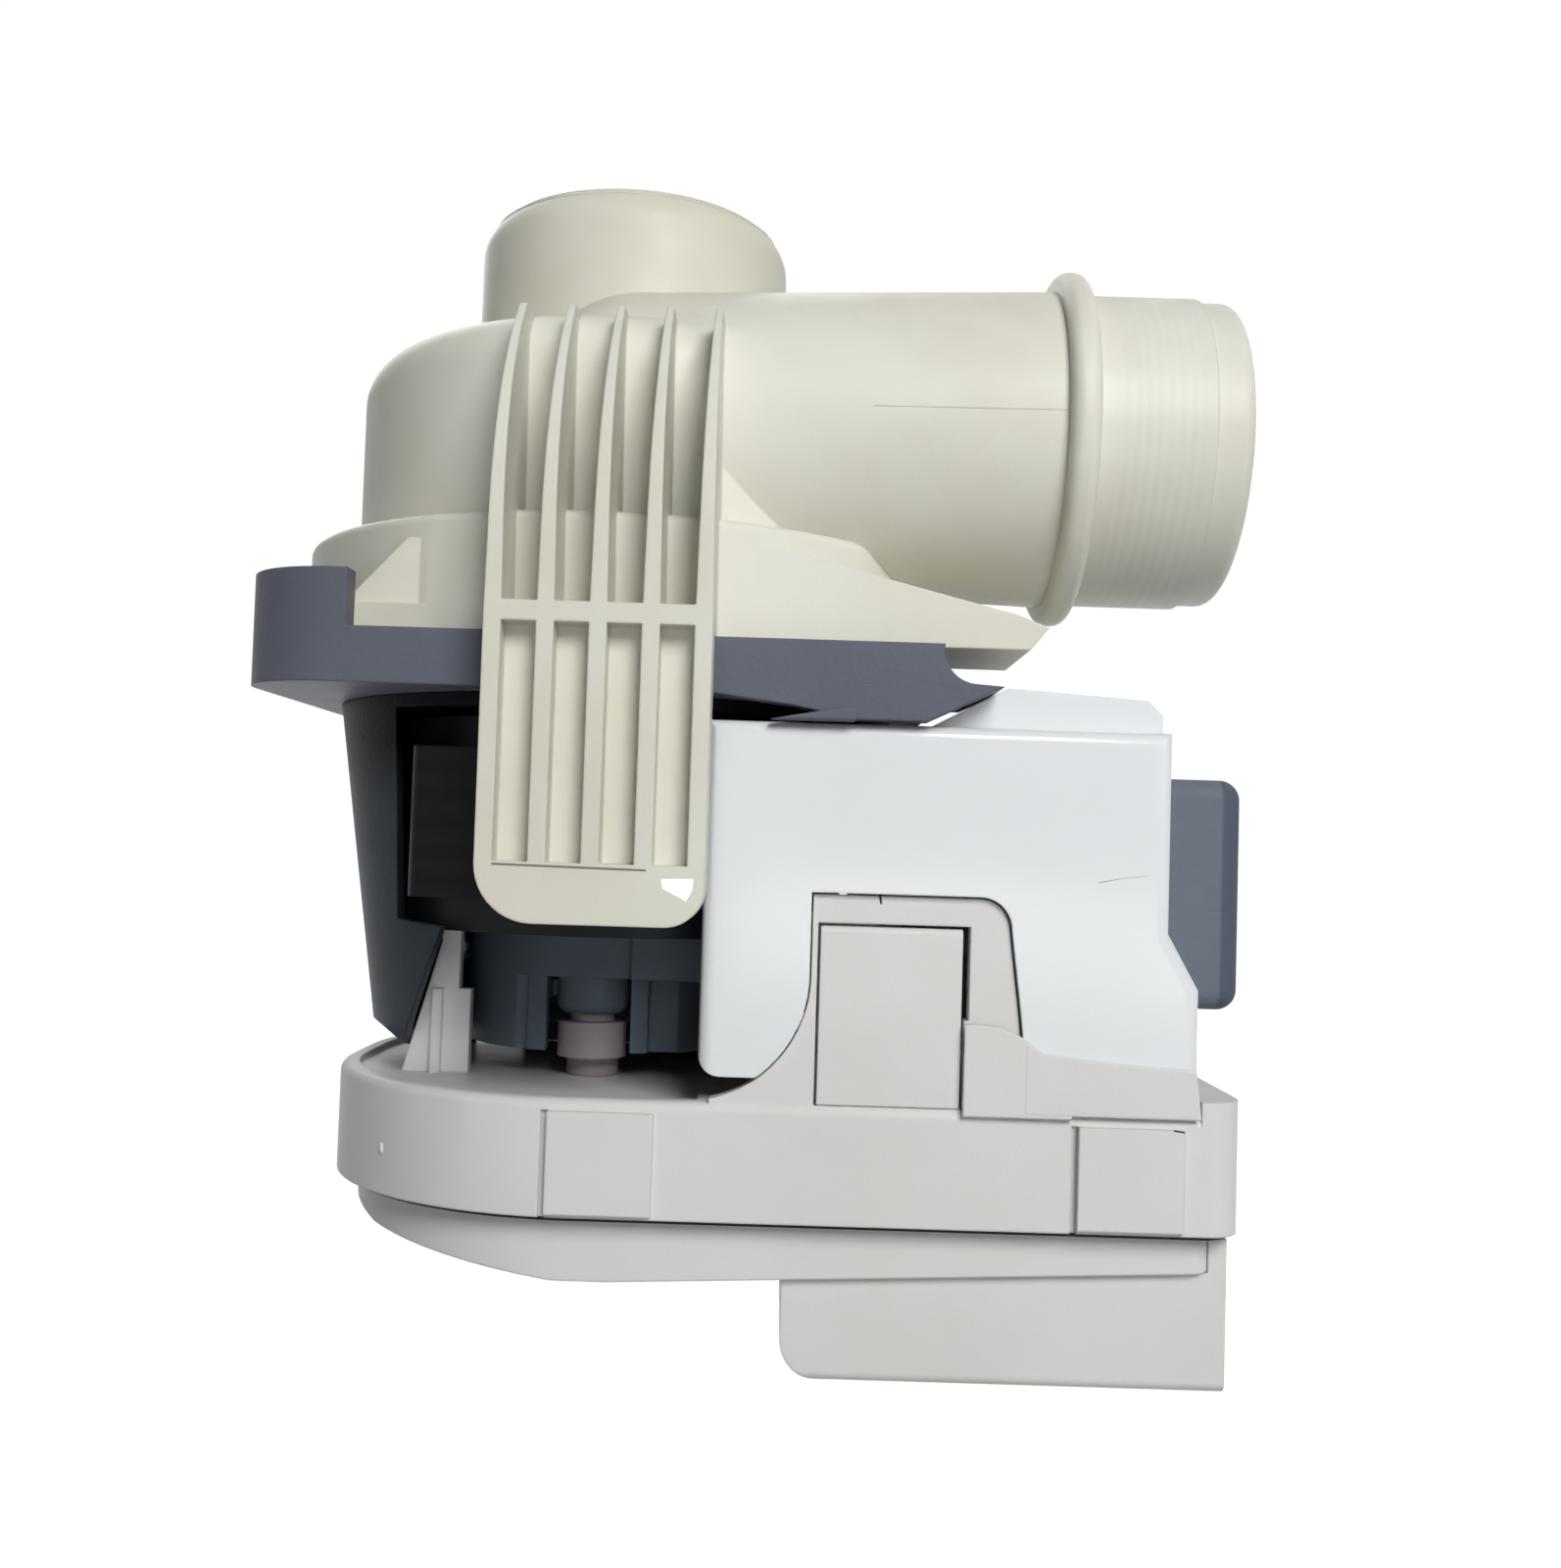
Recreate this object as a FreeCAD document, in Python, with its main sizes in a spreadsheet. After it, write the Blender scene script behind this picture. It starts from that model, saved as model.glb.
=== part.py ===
import FreeCAD, Part
import math
import os
from types import SimpleNamespace

import Sketcher

# Canned-rotor dishwasher pump. The origin is on the pump axis, in the middle of
# the straight band that the inlet spigot leaves free above the outlet, and +Z
# runs out of the inlet. +X is the way out of the outlet spigot and -Y is the
# side with the moulded locking tongue.

# Driving sizes in millimetres
SIZES = (
    ("inlet_radius", 19.7, "inlet spigot, outer radius"),
    ("inlet_length", 19.9, "inlet mouth down to the drum top"),
    ("inlet_lip", 5.0, "inlet spigot, round of the lip"),
    ("grip_length", 7.4, "inlet spigot, straight band free above the outlet"),
    ("inlet_draft", 0.25, "inlet spigot, widening below that band"),
    ("inlet_wall", 2.5, "inlet spigot, wall"),
    ("inlet_foot", 1.4, "inlet spigot, round of its foot"),
    ("neck_step", 0.6, "suction neck, outer radius less than the spigot's"),
    ("neck_drop", 8.5, "suction neck below the drum's roof"),
    ("drum_radius", 33.5, "volute drum, outer radius"),
    ("drum_height", 24.4, "drum top down to the skirt"),
    ("drum_wall", 2.6, "volute drum, wall"),
    ("drum_round", 6.0, "round of the drum's top edge"),
    ("skirt_radius", 39.2, "volute skirt, outer radius"),
    ("skirt_height", 13.0, "skirt top down to the seam"),
    ("seat_radius", 36.6, "seat of the can cover in the skirt"),
    ("seat_depth", 7.0, "depth of that seat"),
    ("outlet_front", 14.5, "outlet axis in front of the pump axis"),
    ("outlet_drop", 30.45, "outlet axis below the inlet mouth"),
    ("outlet_radius", 18.4, "outlet spigot, outer radius"),
    ("outlet_wall", 2.3, "outlet spigot, wall"),
    ("outlet_reach", 72.5, "pump axis to the outlet's end"),
    ("outlet_step", 4.5, "length of the stepped outlet end"),
    ("outlet_step_depth", 0.45, "drop of the stepped outlet end"),
    ("diffuser_start", -11.0, "left end of the diffuser, from the pump axis"),
    ("diffuser_radius", 16.8, "diffuser, outer radius at its round end"),
    ("diffuser_round", 14.0, "diffuser, round of its closed end"),
    ("collar_start", 51.5, "pump axis to the outlet collar"),
    ("collar_width", 3.4, "outlet collar, width"),
    ("collar_radius", 20.9, "outlet collar, outer radius"),
    ("tongue_left", 9.5, "locking tongue, reach to the left"),
    ("tongue_right", 13.7, "locking tongue, reach to the right"),
    ("tongue_front", 46.0, "locking tongue, front face"),
    ("tongue_depth", 5.0, "locking tongue, depth"),
    ("tongue_panel", 2.2, "locking tongue, thickness behind the ribs"),
    ("tongue_length", 30.5, "seam down to the tongue's toe"),
    ("tongue_toe", 6.2, "height of the solid toe"),
    ("fin_thickness", 1.8, "ribs and fins of the tongue, at their foot"),
    ("fin_tip", 0.8, "fins of the tongue, thickness at the top"),
    ("bar_height", 2.1, "cross bar of the tongue"),
    ("ear_reach", 47.5, "skirt ear under the outlet, reach"),
    ("ear_height", 10.8, "skirt ear under the outlet, height"),
    ("web_reach", 26.5, "triangular webs, reach from the middle"),
    ("lug_half", 35.0, "half width of the volute's square foot"),
    ("lug_thickness", 3.0, "thickness of the square foot"),
    ("web_thickness", 1.8, "triangular web on the skirt"),
    ("flange_half", 38.3, "motor flange, half width"),
    ("flange_thickness", 6.0, "motor flange, thickness"),
    ("flange_corner", 11.0, "motor flange, corner round"),
    ("flange_ear", 44.4, "motor flange, reach of the right ear"),
    ("ear_drop", 4.4, "tip of the flange ear below the seam"),
    ("apron_drop", 2.3, "apron of the flange ear below the flange"),
    ("hook_height", 6.2, "hook walls above the flange"),
    ("hook_thickness", 3.2, "hook walls, thickness"),
    ("hook_length", 12.8, "hook walls, length along each side"),
    ("shell_top_radius", 34.9, "motor shell, radius at the flange"),
    ("shell_low_radius", 29.6, "motor shell, radius at its foot"),
    ("shell_height", 38.4, "motor shell, height"),
    ("shell_wall", 2.2, "motor shell, wall"),
    ("shell_window", 22.7, "window in the shell, reach to the left"),
    ("shell_chamfer", 2.5, "chamfer of the shell's foot, height"),
    ("chamfer_reach", 2.9, "chamfer of the shell's foot, drop of the radius"),
    ("can_radius", 14.5, "separating can, outer radius"),
    ("can_wall", 1.0, "separating can, wall"),
    ("can_depth", 38.5, "separating can, depth below the seam"),
    ("cover_plate", 4.0, "separating can, cover plate"),
    ("seal_section", 2.9, "volute seal, section"),
    ("shaft_radius", 3.0, "shaft, radius"),
    ("shaft_clearance", 0.03, "running clearance of the shaft"),
    ("bearing_radius", 6.0, "carbon bearings, outer radius"),
    ("bearing_length", 7.0, "carbon bearings, length"),
    ("rotor_radius", 12.7, "rotor magnet, outer radius"),
    ("rotor_core_radius", 8.2, "rotor core, radius"),
    ("rotor_length", 23.5, "rotor magnet, length"),
    ("impeller_radius", 27.0, "impeller, radius"),
    ("impeller_height", 17.1, "impeller, over both discs"),
    ("impeller_disc", 1.8, "impeller discs, thickness"),
    ("impeller_gap", 2.5, "impeller above the bearing carrier"),
    ("eye_gap", 0.35, "impeller eye inside the suction neck"),
    ("blade_thickness", 1.6, "impeller blades, thickness"),
    ("stack_radius", 29.0, "stator laminations, radius"),
    ("stack_half", 20.0, "stator front pad, half width"),
    ("stack_front", 30.0, "stator front pad, reach"),
    ("stack_height", 16.7, "stator laminations, stack height"),
    ("stack_drop", 6.0, "flange underside down to the laminations"),
    ("tooth_width", 7.0, "stator teeth, width"),
    ("slot_low", 17.0, "stator slots, inner radius"),
    ("slot_high", 25.5, "stator slots, outer radius"),
    ("coil_thickness", 3.0, "coil windings, thickness"),
    ("shield_radius", 18.0, "end shield, radius"),
    ("bolt_circle", 25.2, "stator screws, radius of their circle"),
    ("shield_height", 5.25, "end shield, rim height"),
    ("bush_radius", 4.1, "rubber foot under the end shield, radius"),
    ("bush_low", 2.4, "wide part of the rubber foot above the control box floor"),
    ("boss_radius", 4.3, "column of the end shield, radius"),
    ("boss_left", 0.7, "column of the end shield, left of the pump axis"),
    ("boss_front", 13.6, "column of the end shield, in front of the pump axis"),
    ("boss_low", 7.55, "column's foot above the control box floor"),
    ("cup_gap", 3.2, "end shield cup above the control box floor"),
    ("leg_left", 23.1, "support legs, outer edge at the floor"),
    ("leg_right", 15.2, "support legs, inner edge at the floor"),
    ("leg_front", 14.0, "support legs, middle in front of the pump axis and behind it"),
    ("terminal_reach", 29.4, "phase terminals, distance from the pump axis"),
    ("terminal_thickness", 0.8, "phase terminals, thickness"),
    ("cover_left", 13.1, "terminal cover, left edge"),
    ("cover_right", 62.8, "terminal cover, right edge at the top"),
    ("cover_flare", 3.3, "terminal cover, flare of the right foot"),
    ("cover_front", 37.0, "terminal cover, front face"),
    ("cover_back", 18.0, "terminal cover, rear face"),
    ("cover_wall", 2.0, "terminal cover, wall"),
    ("cover_drop", 2.6, "flange underside down to the cover"),
    ("cover_raise", 4.4, "raised rear part of the cover"),
    ("arch_left", 24.9, "arch in the cover, left edge"),
    ("arch_right", 45.8, "arch in the cover, right edge"),
    ("arch_height", 22.3, "arch in the cover, height above the box"),
    ("arch_foot", 13.5, "round of the arch's left foot"),
    ("arch_round", 3.2, "round of the arch's top right corner"),
    ("panel_gap", 0.2, "gap round the latch panel"),
    ("latch_left", 25.8, "latch tongue, left edge"),
    ("latch_right", 40.9, "latch tongue, right edge"),
    ("latch_height", 19.0, "latch tongue, height"),
    ("latch_slit", 0.3, "slit round the latch tongue"),
    ("box_left", 32.0, "control box, reach to the left"),
    ("box_right", 71.3, "control box, reach to the right"),
    ("box_front", 36.6, "control box, half depth"),
    ("box_round", 32.0, "control box, round of the left corners"),
    ("box_corner", 4.0, "control box, round of the right corners"),
    ("box_gap", 4.8, "motor shell's foot above the control box"),
    ("box_wall", 2.0, "control box, wall"),
    ("box_recess", 0.8, "control box, sunk top inside its rim"),
    ("box_rim", 2.2, "control box, rim round the sunk top"),
    ("box_ledge", 1.6, "raised ledge along the right edge of the box"),
    ("band_height", 12.5, "control box band, height"),
    ("dish_depth", 7.2, "bottom cover, depth at the left"),
    ("dish_rise", 2.7, "bottom cover, rise towards the right"),
    ("dish_inset", 2.6, "bottom cover, inset from the band"),
    ("socket_left", 22.7, "connector box, left face"),
    ("socket_front", 33.0, "connector box, front face"),
    ("socket_back", 14.0, "connector box, rear face"),
    ("socket_depth", 17.3, "connector box, below the band"),
    ("socket_wall", 1.8, "connector box, wall"),
    ("board_drop", 5.4, "circuit board below the box top"),
    ("board_thickness", 1.6, "circuit board, thickness"),
    ("pad_reach", 8.9, "damper pad, depth off the cover"),
    ("pad_front", 20.0, "damper pad, front face"),
    ("pad_back", 8.0, "damper pad, rear face"),
    ("pad_height", 27.0, "damper pad, height"),
    ("pad_drop", 6.5, "damper pad below the flange underside"),
)

FIN_COUNT = 5
BLADE_COUNT = 6
TOOTH_COUNT = 6
SCREW_ANGLES = (90, 150, 330)
SHANK_RADIUS = 1.45
FLARE_TOP = 19.2
FLARE_LOW = 13.3
TERMINAL_ROWS = (-6, 0, 6)

doc = FreeCAD.newDocument("dishwasher_pump")
sheet = doc.addObject("Spreadsheet::Sheet", "Sizes")
nodes = []


class Value:
    """A length with its number and the sheet expression that gives it."""

    def __init__(self, number, text=None):
        self.number = float(number)
        self.text = text or repr(self.number)

    def __add__(self, other):
        other = value(other)
        return Value(self.number + other.number, f"({self.text} + {other.text})")

    def __sub__(self, other):
        other = value(other)
        return Value(self.number - other.number, f"({self.text} - {other.text})")

    def __mul__(self, other):
        other = value(other)
        return Value(self.number * other.number, f"({self.text} * {other.text})")

    def __truediv__(self, other):
        other = value(other)
        return Value(self.number / other.number, f"({self.text} / {other.text})")

    def __neg__(self):
        return Value(-self.number, f"(0 - {self.text})")

    def __radd__(self, other):
        return value(other) + self

    def __rsub__(self, other):
        return value(other) - self

    def __rmul__(self, other):
        return value(other) * self


def value(length):
    """A plain number or a Value, as a Value."""
    return length if isinstance(length, Value) else Value(length)


def fill_sheet():
    """Write the driving sizes to the sheet and hand them back by name."""
    named = {}
    for row, (alias, number, note) in enumerate(SIZES, 1):
        sheet.set(f"A{row}", note)
        sheet.set(f"B{row}", str(number))
        sheet.setAlias(f"B{row}", alias)
        named[alias] = Value(number, f"Sizes.{alias}")
    doc.recompute()
    return SimpleNamespace(**named)


# Building blocks

TURN = {
    "X": FreeCAD.Rotation(FreeCAD.Vector(0, 1, 0), 90),
    "Y": FreeCAD.Rotation(FreeCAD.Vector(1, 0, 0), -90),
    "Z": FreeCAD.Rotation(),
}


def tie(thing, **sizes):
    """Bind properties of an object to the sheet."""
    for name, length in sizes.items():
        thing.setExpression(name, value(length).text)


def place(thing, x, y, z, turn=None):
    """Set an object's place, bound to the sheet, and its turn."""
    thing.Placement = FreeCAD.Placement(FreeCAD.Vector(), turn or FreeCAD.Rotation())
    for axis, length in zip("xyz", (x, y, z)):
        thing.setExpression(f"Placement.Base.{axis}", value(length).text)


def along(axis, low, u, v):
    """The three coordinates of a point at low along an axis."""
    return {"X": (low, u, v), "Y": (u, low, v), "Z": (u, v, low)}[axis]


def box(xs, ys, zs):
    """A block between pairs of coordinates."""
    thing = doc.addObject("Part::Box", "Block")
    tie(thing, Length=xs[1] - value(xs[0]), Width=ys[1] - value(ys[0]), Height=zs[1] - value(zs[0]))
    place(thing, xs[0], ys[0], zs[0])
    return thing


def rod(radius, span, u=0, v=0, axis="Z"):
    """A round bar between two coordinates along an axis."""
    thing = doc.addObject("Part::Cylinder", "Rod")
    tie(thing, Radius=radius, Height=span[1] - value(span[0]))
    place(thing, *along(axis, span[0], u, v), TURN[axis])
    return thing


def join(*things):
    """One solid out of several."""
    thing = doc.addObject("Part::MultiFuse", "Joined")
    thing.Shapes = list(things)
    thing.Refine = True
    return thing


def cut(base, *tools):
    """A solid less one or more others."""
    thing = doc.addObject("Part::Cut", "Cut")
    thing.Base = base
    thing.Tool = tools[0] if len(tools) == 1 else join(*tools)
    thing.Refine = True
    return thing


def common(base, tool):
    """What two solids share."""
    thing = doc.addObject("Part::Common", "Common")
    thing.Base = base
    thing.Tool = tool
    thing.Refine = True
    return thing


def group(*things):
    """Separate solids kept side by side."""
    thing = doc.addObject("Part::Compound", "Group")
    thing.Links = list(things)
    return thing


def tube(outer, inner, span, u=0, v=0, axis="Z"):
    """A round bar with a bore right through it."""
    return cut(rod(outer, span, u, v, axis), rod(inner, span, u, v, axis))


def sketch_on(body, role, points):
    """A closed outline bound to the sheet. A point with four lengths is reached
    by an arc through the place that its last two lengths give."""
    sketch = body.newObject("Sketcher::SketchObject", "Outline")
    plane = next(f for f in body.Origin.OriginFeatures if f.Role == role)
    sketch.AttachmentSupport = [(plane, "")]
    sketch.MapMode = "FlatFace"

    def spot(u, v):
        return FreeCAD.Vector(value(u).number, value(v).number, 0)

    def pin(geometry, vertex, place_pair):
        for kind, length in zip(("DistanceX", "DistanceY"), place_pair):
            rule = Sketcher.Constraint(kind, -1, 1, geometry, vertex, value(length).number)
            index = sketch.addConstraint(rule)
            sketch.setExpression(f"Constraints[{index}]", value(length).text)

    count = len(points)
    ends = []
    for k, point in enumerate(points):
        target = points[(k + 1) % count]
        start, end = spot(*point[:2]), spot(*target[:2])
        if len(target) == 2:
            sketch.addGeometry(Part.LineSegment(start, end), False)
            ends.append((1, 2))
        else:
            middle = spot(*target[2:])
            sketch.addGeometry(Part.Arc(start, middle, end), False)
            left_turn = (middle - start).cross(end - start).z > 0
            ends.append((1, 2) if left_turn else (2, 1))
    for k in range(count):
        follower = (k + 1) % count
        sketch.addConstraint(Sketcher.Constraint("Coincident", k, ends[k][1], follower, ends[follower][0]))
    for k, point in enumerate(points):
        pin(k, ends[k][0], point[:2])
    for k in range(count):
        through = points[(k + 1) % count][2:]
        if through:
            guide = sketch.addGeometry(Part.Point(spot(*through)), True)
            pin(guide, 1, through)
            sketch.addConstraint(Sketcher.Constraint("PointOnObject", guide, 1, k))
    return sketch


def turned(points):
    """A body turned about Z from (radius, height) corners."""
    body = doc.addObject("PartDesign::Body", "Turned")
    sketch = sketch_on(body, "XZ_Plane", points)
    feature = body.newObject("PartDesign::Revolution", "Turning")
    feature.Profile = sketch
    feature.ReferenceAxis = (sketch, ["V_Axis"])
    feature.Angle = 360
    body.Tip = feature
    doc.recompute()
    return body


def slab(role, points, span):
    """A body padded from an outline on an origin plane, between two coordinates."""
    body = doc.addObject("PartDesign::Body", "Slab")
    sketch = sketch_on(body, role, points)
    feature = body.newObject("PartDesign::Pad", "Padding")
    feature.Profile = sketch
    tie(feature, Length=span[1] - value(span[0]))
    feature.Reversed = role == "XZ_Plane"
    body.Tip = feature
    axis = {"XY_Plane": "Z", "XZ_Plane": "Y", "YZ_Plane": "X"}[role]
    place(body, *along(axis, span[0], 0, 0))
    doc.recompute()
    return body


def soften(body, radius, pick):
    """Round the picked edges of a body with its own fillet."""
    doc.recompute()
    tip = body.Tip
    names = [f"Edge{k}" for k, edge in enumerate(tip.Shape.Edges, 1) if pick(edge)]
    feature = body.newObject("PartDesign::Fillet", "Round")
    feature.Base = (tip, names)
    tie(feature, Radius=radius)
    body.Tip = feature
    doc.recompute()
    return body


def rounded(base, *rounds):
    """Round picked edges of a solid: pairs of a pick and a radius."""
    doc.recompute()
    thing = doc.addObject("Part::Fillet", "Rounded")
    thing.Base = base
    edges = []
    for pick, radius in rounds:
        length = value(radius).number
        edges += [(k, length, length) for k, edge in enumerate(base.Shape.Edges, 1) if pick(edge)]
    thing.Edges = edges
    doc.recompute()
    return thing


def spans(edge, axis):
    """The lowest and highest coordinate of an edge along an axis."""
    bounds = edge.BoundBox
    return getattr(bounds, axis + "Min"), getattr(bounds, axis + "Max")


def near(edge, **places):
    """Whether an edge lies wholly at each named coordinate."""
    for axis, length in places.items():
        low, high = spans(edge, axis)
        if max(abs(low - value(length).number), abs(high - value(length).number)) > 0.02:
            return False
    return True


def ring(edge, radius, height):
    """Whether an edge is a circle of that radius at that height."""
    curve = edge.Curve
    fits = isinstance(curve, Part.Circle) and abs(curve.Radius - value(radius).number) < 0.02
    return fits and near(edge, Z=height)


def upright(edge):
    """Whether an edge is straight and runs along Z."""
    low, high = spans(edge, "Z")
    return isinstance(edge.Curve, (Part.Line, Part.LineSegment)) and abs(high - low - edge.Length) < 0.001


def node(name, thing):
    """Give a finished sub-part its name."""
    thing.Label = name
    nodes.append(thing)
    return thing


s = fill_sheet()

# Levels along the pump axis, from the inlet mouth down
mouth = s.inlet_lip + s.grip_length / 2
grip_low = -s.grip_length / 2
drum_top = mouth - s.inlet_length
roof = drum_top - s.drum_wall
skirt_top = drum_top - s.drum_height
seam = skirt_top - s.skirt_height
seat_top = seam + s.seat_depth
plate_top = seam + s.cover_plate
flange_low = seam - s.flange_thickness
shell_low = flange_low - s.shell_height
can_low = seam - s.can_depth
stack_top = flange_low - s.stack_drop
stack_low = stack_top - s.stack_height
box_top = shell_low - s.box_gap
band_low = box_top - s.band_height
dish_low = band_low - s.dish_depth
socket_low = band_low - s.socket_depth
carrier_top = plate_top + 1.5
floor_top = box_top - s.box_recess
ceiling = floor_top - 2.2
board_top = box_top - s.board_drop
board_low = board_top - s.board_thickness
shield_top = stack_low - 4.1
shield_low = shield_top - s.shield_height
arm_low = shield_top - 3.2
CLEAR = 0.3


def tongue():
    """Ribbed locking tongue that hangs in front of the motor flange."""
    left, right = -s.tongue_left, s.tongue_right
    front, back = -s.tongue_front, -s.tongue_front + s.tongue_depth
    floor = -s.tongue_front + (s.tongue_depth - s.tongue_panel)
    bar_top = seam + s.bar_height
    toe_low = seam - s.tongue_length
    toe_top = toe_low + s.tongue_toe
    blade = box((left, right), (front, back), (toe_low, bar_top))
    blade = rounded(
        blade,
        (lambda e: near(e, X=left, Z=toe_low), 6.0),
        (lambda e: near(e, X=right, Z=toe_low), 4.0),
    )
    pitch = (right - left - s.fin_thickness) / (FIN_COUNT - 1)
    recesses = []
    for k in range(FIN_COUNT - 1):
        low = left + k * pitch + s.fin_thickness
        high = left + (k + 1) * pitch
        recesses.append(box((low, high), (front - 1, floor), (toe_top, seam)))
    blade = cut(blade, *recesses)
    bar = box((left, right), (front, -s.skirt_radius + 4), (seam, bar_top))
    fin_top = drum_top - 1
    knee = bar_top + 8.5
    root = -s.drum_radius + 6
    profile = slab("YZ_Plane", [
        (root, seam),
        (root, fin_top),
        (-s.drum_radius - 1, fin_top),
        (front, knee, front + 2.5, (fin_top + knee) / 2),
        (front, seam),
    ], (left - 1, right + 1))
    fins = []
    for k in range(FIN_COUNT):
        low = left + k * pitch
        middle = low + s.fin_thickness / 2
        fins.append(slab("XZ_Plane", [
            (low, seam),
            (middle - s.fin_tip / 2, fin_top),
            (middle + s.fin_tip / 2, fin_top),
            (low + s.fin_thickness, seam),
        ], (front - 1, root)))
    return [blade, bar, common(profile, group(*fins))]


def skirt_foot():
    """Square foot, ear under the outlet and triangular webs of the skirt."""
    foot = box((-s.lug_half, s.lug_half), (-s.lug_half, s.lug_half), (seam, seam + s.lug_thickness))
    foot = rounded(foot, (upright, 8.0))
    ear_top = seam + s.ear_height
    ear = slab("XZ_Plane", [
        (0, seam),
        (s.ear_reach, seam),
        (s.ear_reach + 2.0, seam + 2.5),
        (s.ear_reach - 1.5, seam + 3.8),
        (s.ear_reach - 29.9, ear_top),
        (0, ear_top),
    ], (-s.lug_half, -s.lug_half + 19))
    webs = []
    web_top = skirt_top - 2.7
    for side_x, side_y in ((-1, -1), (-1, 1), (1, 1)):
        reach = side_x * s.web_reach
        outline = [
            (reach - side_x * 8.5, web_top),
            (reach - side_x * 6.3, web_top),
            (reach, seam + 3.4),
            (reach, seam),
            (reach - side_x * 8.5, seam),
        ]
        middle = side_y * (s.lug_half - 1.5)
        webs.append(slab("XZ_Plane", outline, (middle - s.web_thickness / 2, middle + s.web_thickness / 2)))
    return [foot, ear] + webs


def volute_housing():
    """Cream volute with its inlet spigot, drum, skirt, outlet and tongue."""
    spigot_foot = s.inlet_radius + s.inlet_draft
    outer = turned([
        (0, mouth),
        (s.inlet_radius, mouth),
        (s.inlet_radius, grip_low),
        (spigot_foot, drum_top),
        (s.drum_radius, drum_top),
        (s.drum_radius, skirt_top),
        (s.skirt_radius, skirt_top),
        (s.skirt_radius, seam),
        (0, seam),
    ])
    soften(outer, s.inlet_lip, lambda e: ring(e, s.inlet_radius, mouth))
    soften(outer, s.drum_round, lambda e: ring(e, s.drum_radius, drum_top))
    soften(outer, s.inlet_foot, lambda e: ring(e, spigot_foot, drum_top))
    soften(outer, 1.2, lambda e: ring(e, s.skirt_radius, skirt_top))
    y, z = -s.outlet_front, mouth - s.outlet_drop
    start = s.diffuser_start
    step = s.outlet_reach - s.outlet_step
    collar_end = s.collar_start + s.collar_width
    outlet = turned([
        (0, start),
        (s.diffuser_radius, start),
        (s.outlet_radius + 0.3, s.collar_start),
        (s.collar_radius, s.collar_start),
        (s.collar_radius, collar_end),
        (s.outlet_radius, collar_end),
        (s.outlet_radius, step),
        (s.outlet_radius - s.outlet_step_depth, step),
        (s.outlet_radius - s.outlet_step_depth, s.outlet_reach),
        (0, s.outlet_reach),
    ])
    soften(outlet, s.diffuser_round, lambda e: ring(e, s.diffuser_radius, start))
    soften(outlet, s.collar_width * 0.42,
           lambda e: ring(e, s.collar_radius, s.collar_start) or ring(e, s.collar_radius, collar_end))
    soften(outlet, 1.5, lambda e: ring(e, s.outlet_radius - s.outlet_step_depth, s.outlet_reach))
    place(outlet, 0, y, z, TURN["X"])
    shape = join(outer, outlet, *tongue(), *skirt_foot())
    cavity = turned([
        (0, roof),
        (s.drum_radius - s.drum_wall, roof),
        (s.drum_radius - s.drum_wall, seat_top),
        (s.seat_radius, seat_top),
        (s.seat_radius, seam - 1),
        (0, seam - 1),
    ])
    bore = s.outlet_radius - s.outlet_wall
    diffuser = s.diffuser_radius - s.outlet_wall
    passage = turned([
        (0, start + s.outlet_wall),
        (diffuser, start + s.outlet_wall),
        (bore, s.collar_start),
        (bore, s.outlet_reach + 1),
        (0, s.outlet_reach + 1),
    ])
    soften(passage, s.diffuser_round - s.outlet_wall, lambda e: ring(e, diffuser, start + s.outlet_wall))
    place(passage, 0, y, z, TURN["X"])
    neck = rod(s.inlet_radius - s.neck_step, (roof - s.neck_drop, mouth))
    shell = cut(cut(shape, cut(cavity, neck)), cut(passage, neck))
    neck_bore = s.inlet_radius - s.inlet_wall
    bore_top = rounded(
        rod(neck_bore, (roof - s.neck_drop - 1, mouth - s.inlet_wall)),
        (lambda e: near(e, Z=mouth - s.inlet_wall), s.inlet_wall),
    )
    way_in = rod(s.inlet_radius - s.inlet_lip, (mouth - s.inlet_wall - 1, mouth + 1))
    return node("volute_housing", cut(cut(shell, bore_top), way_in))


def volute_seal():
    """Rubber ring between the volute and the can cover."""
    ring_shape = doc.addObject("Part::Torus", "Ring")
    tie(ring_shape, Radius1=s.seat_radius - s.seal_section / 2 - 0.2, Radius2=s.seal_section / 2)
    place(ring_shape, 0, 0, (seat_top + plate_top) / 2)
    return node("volute_seal", ring_shape)


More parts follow.
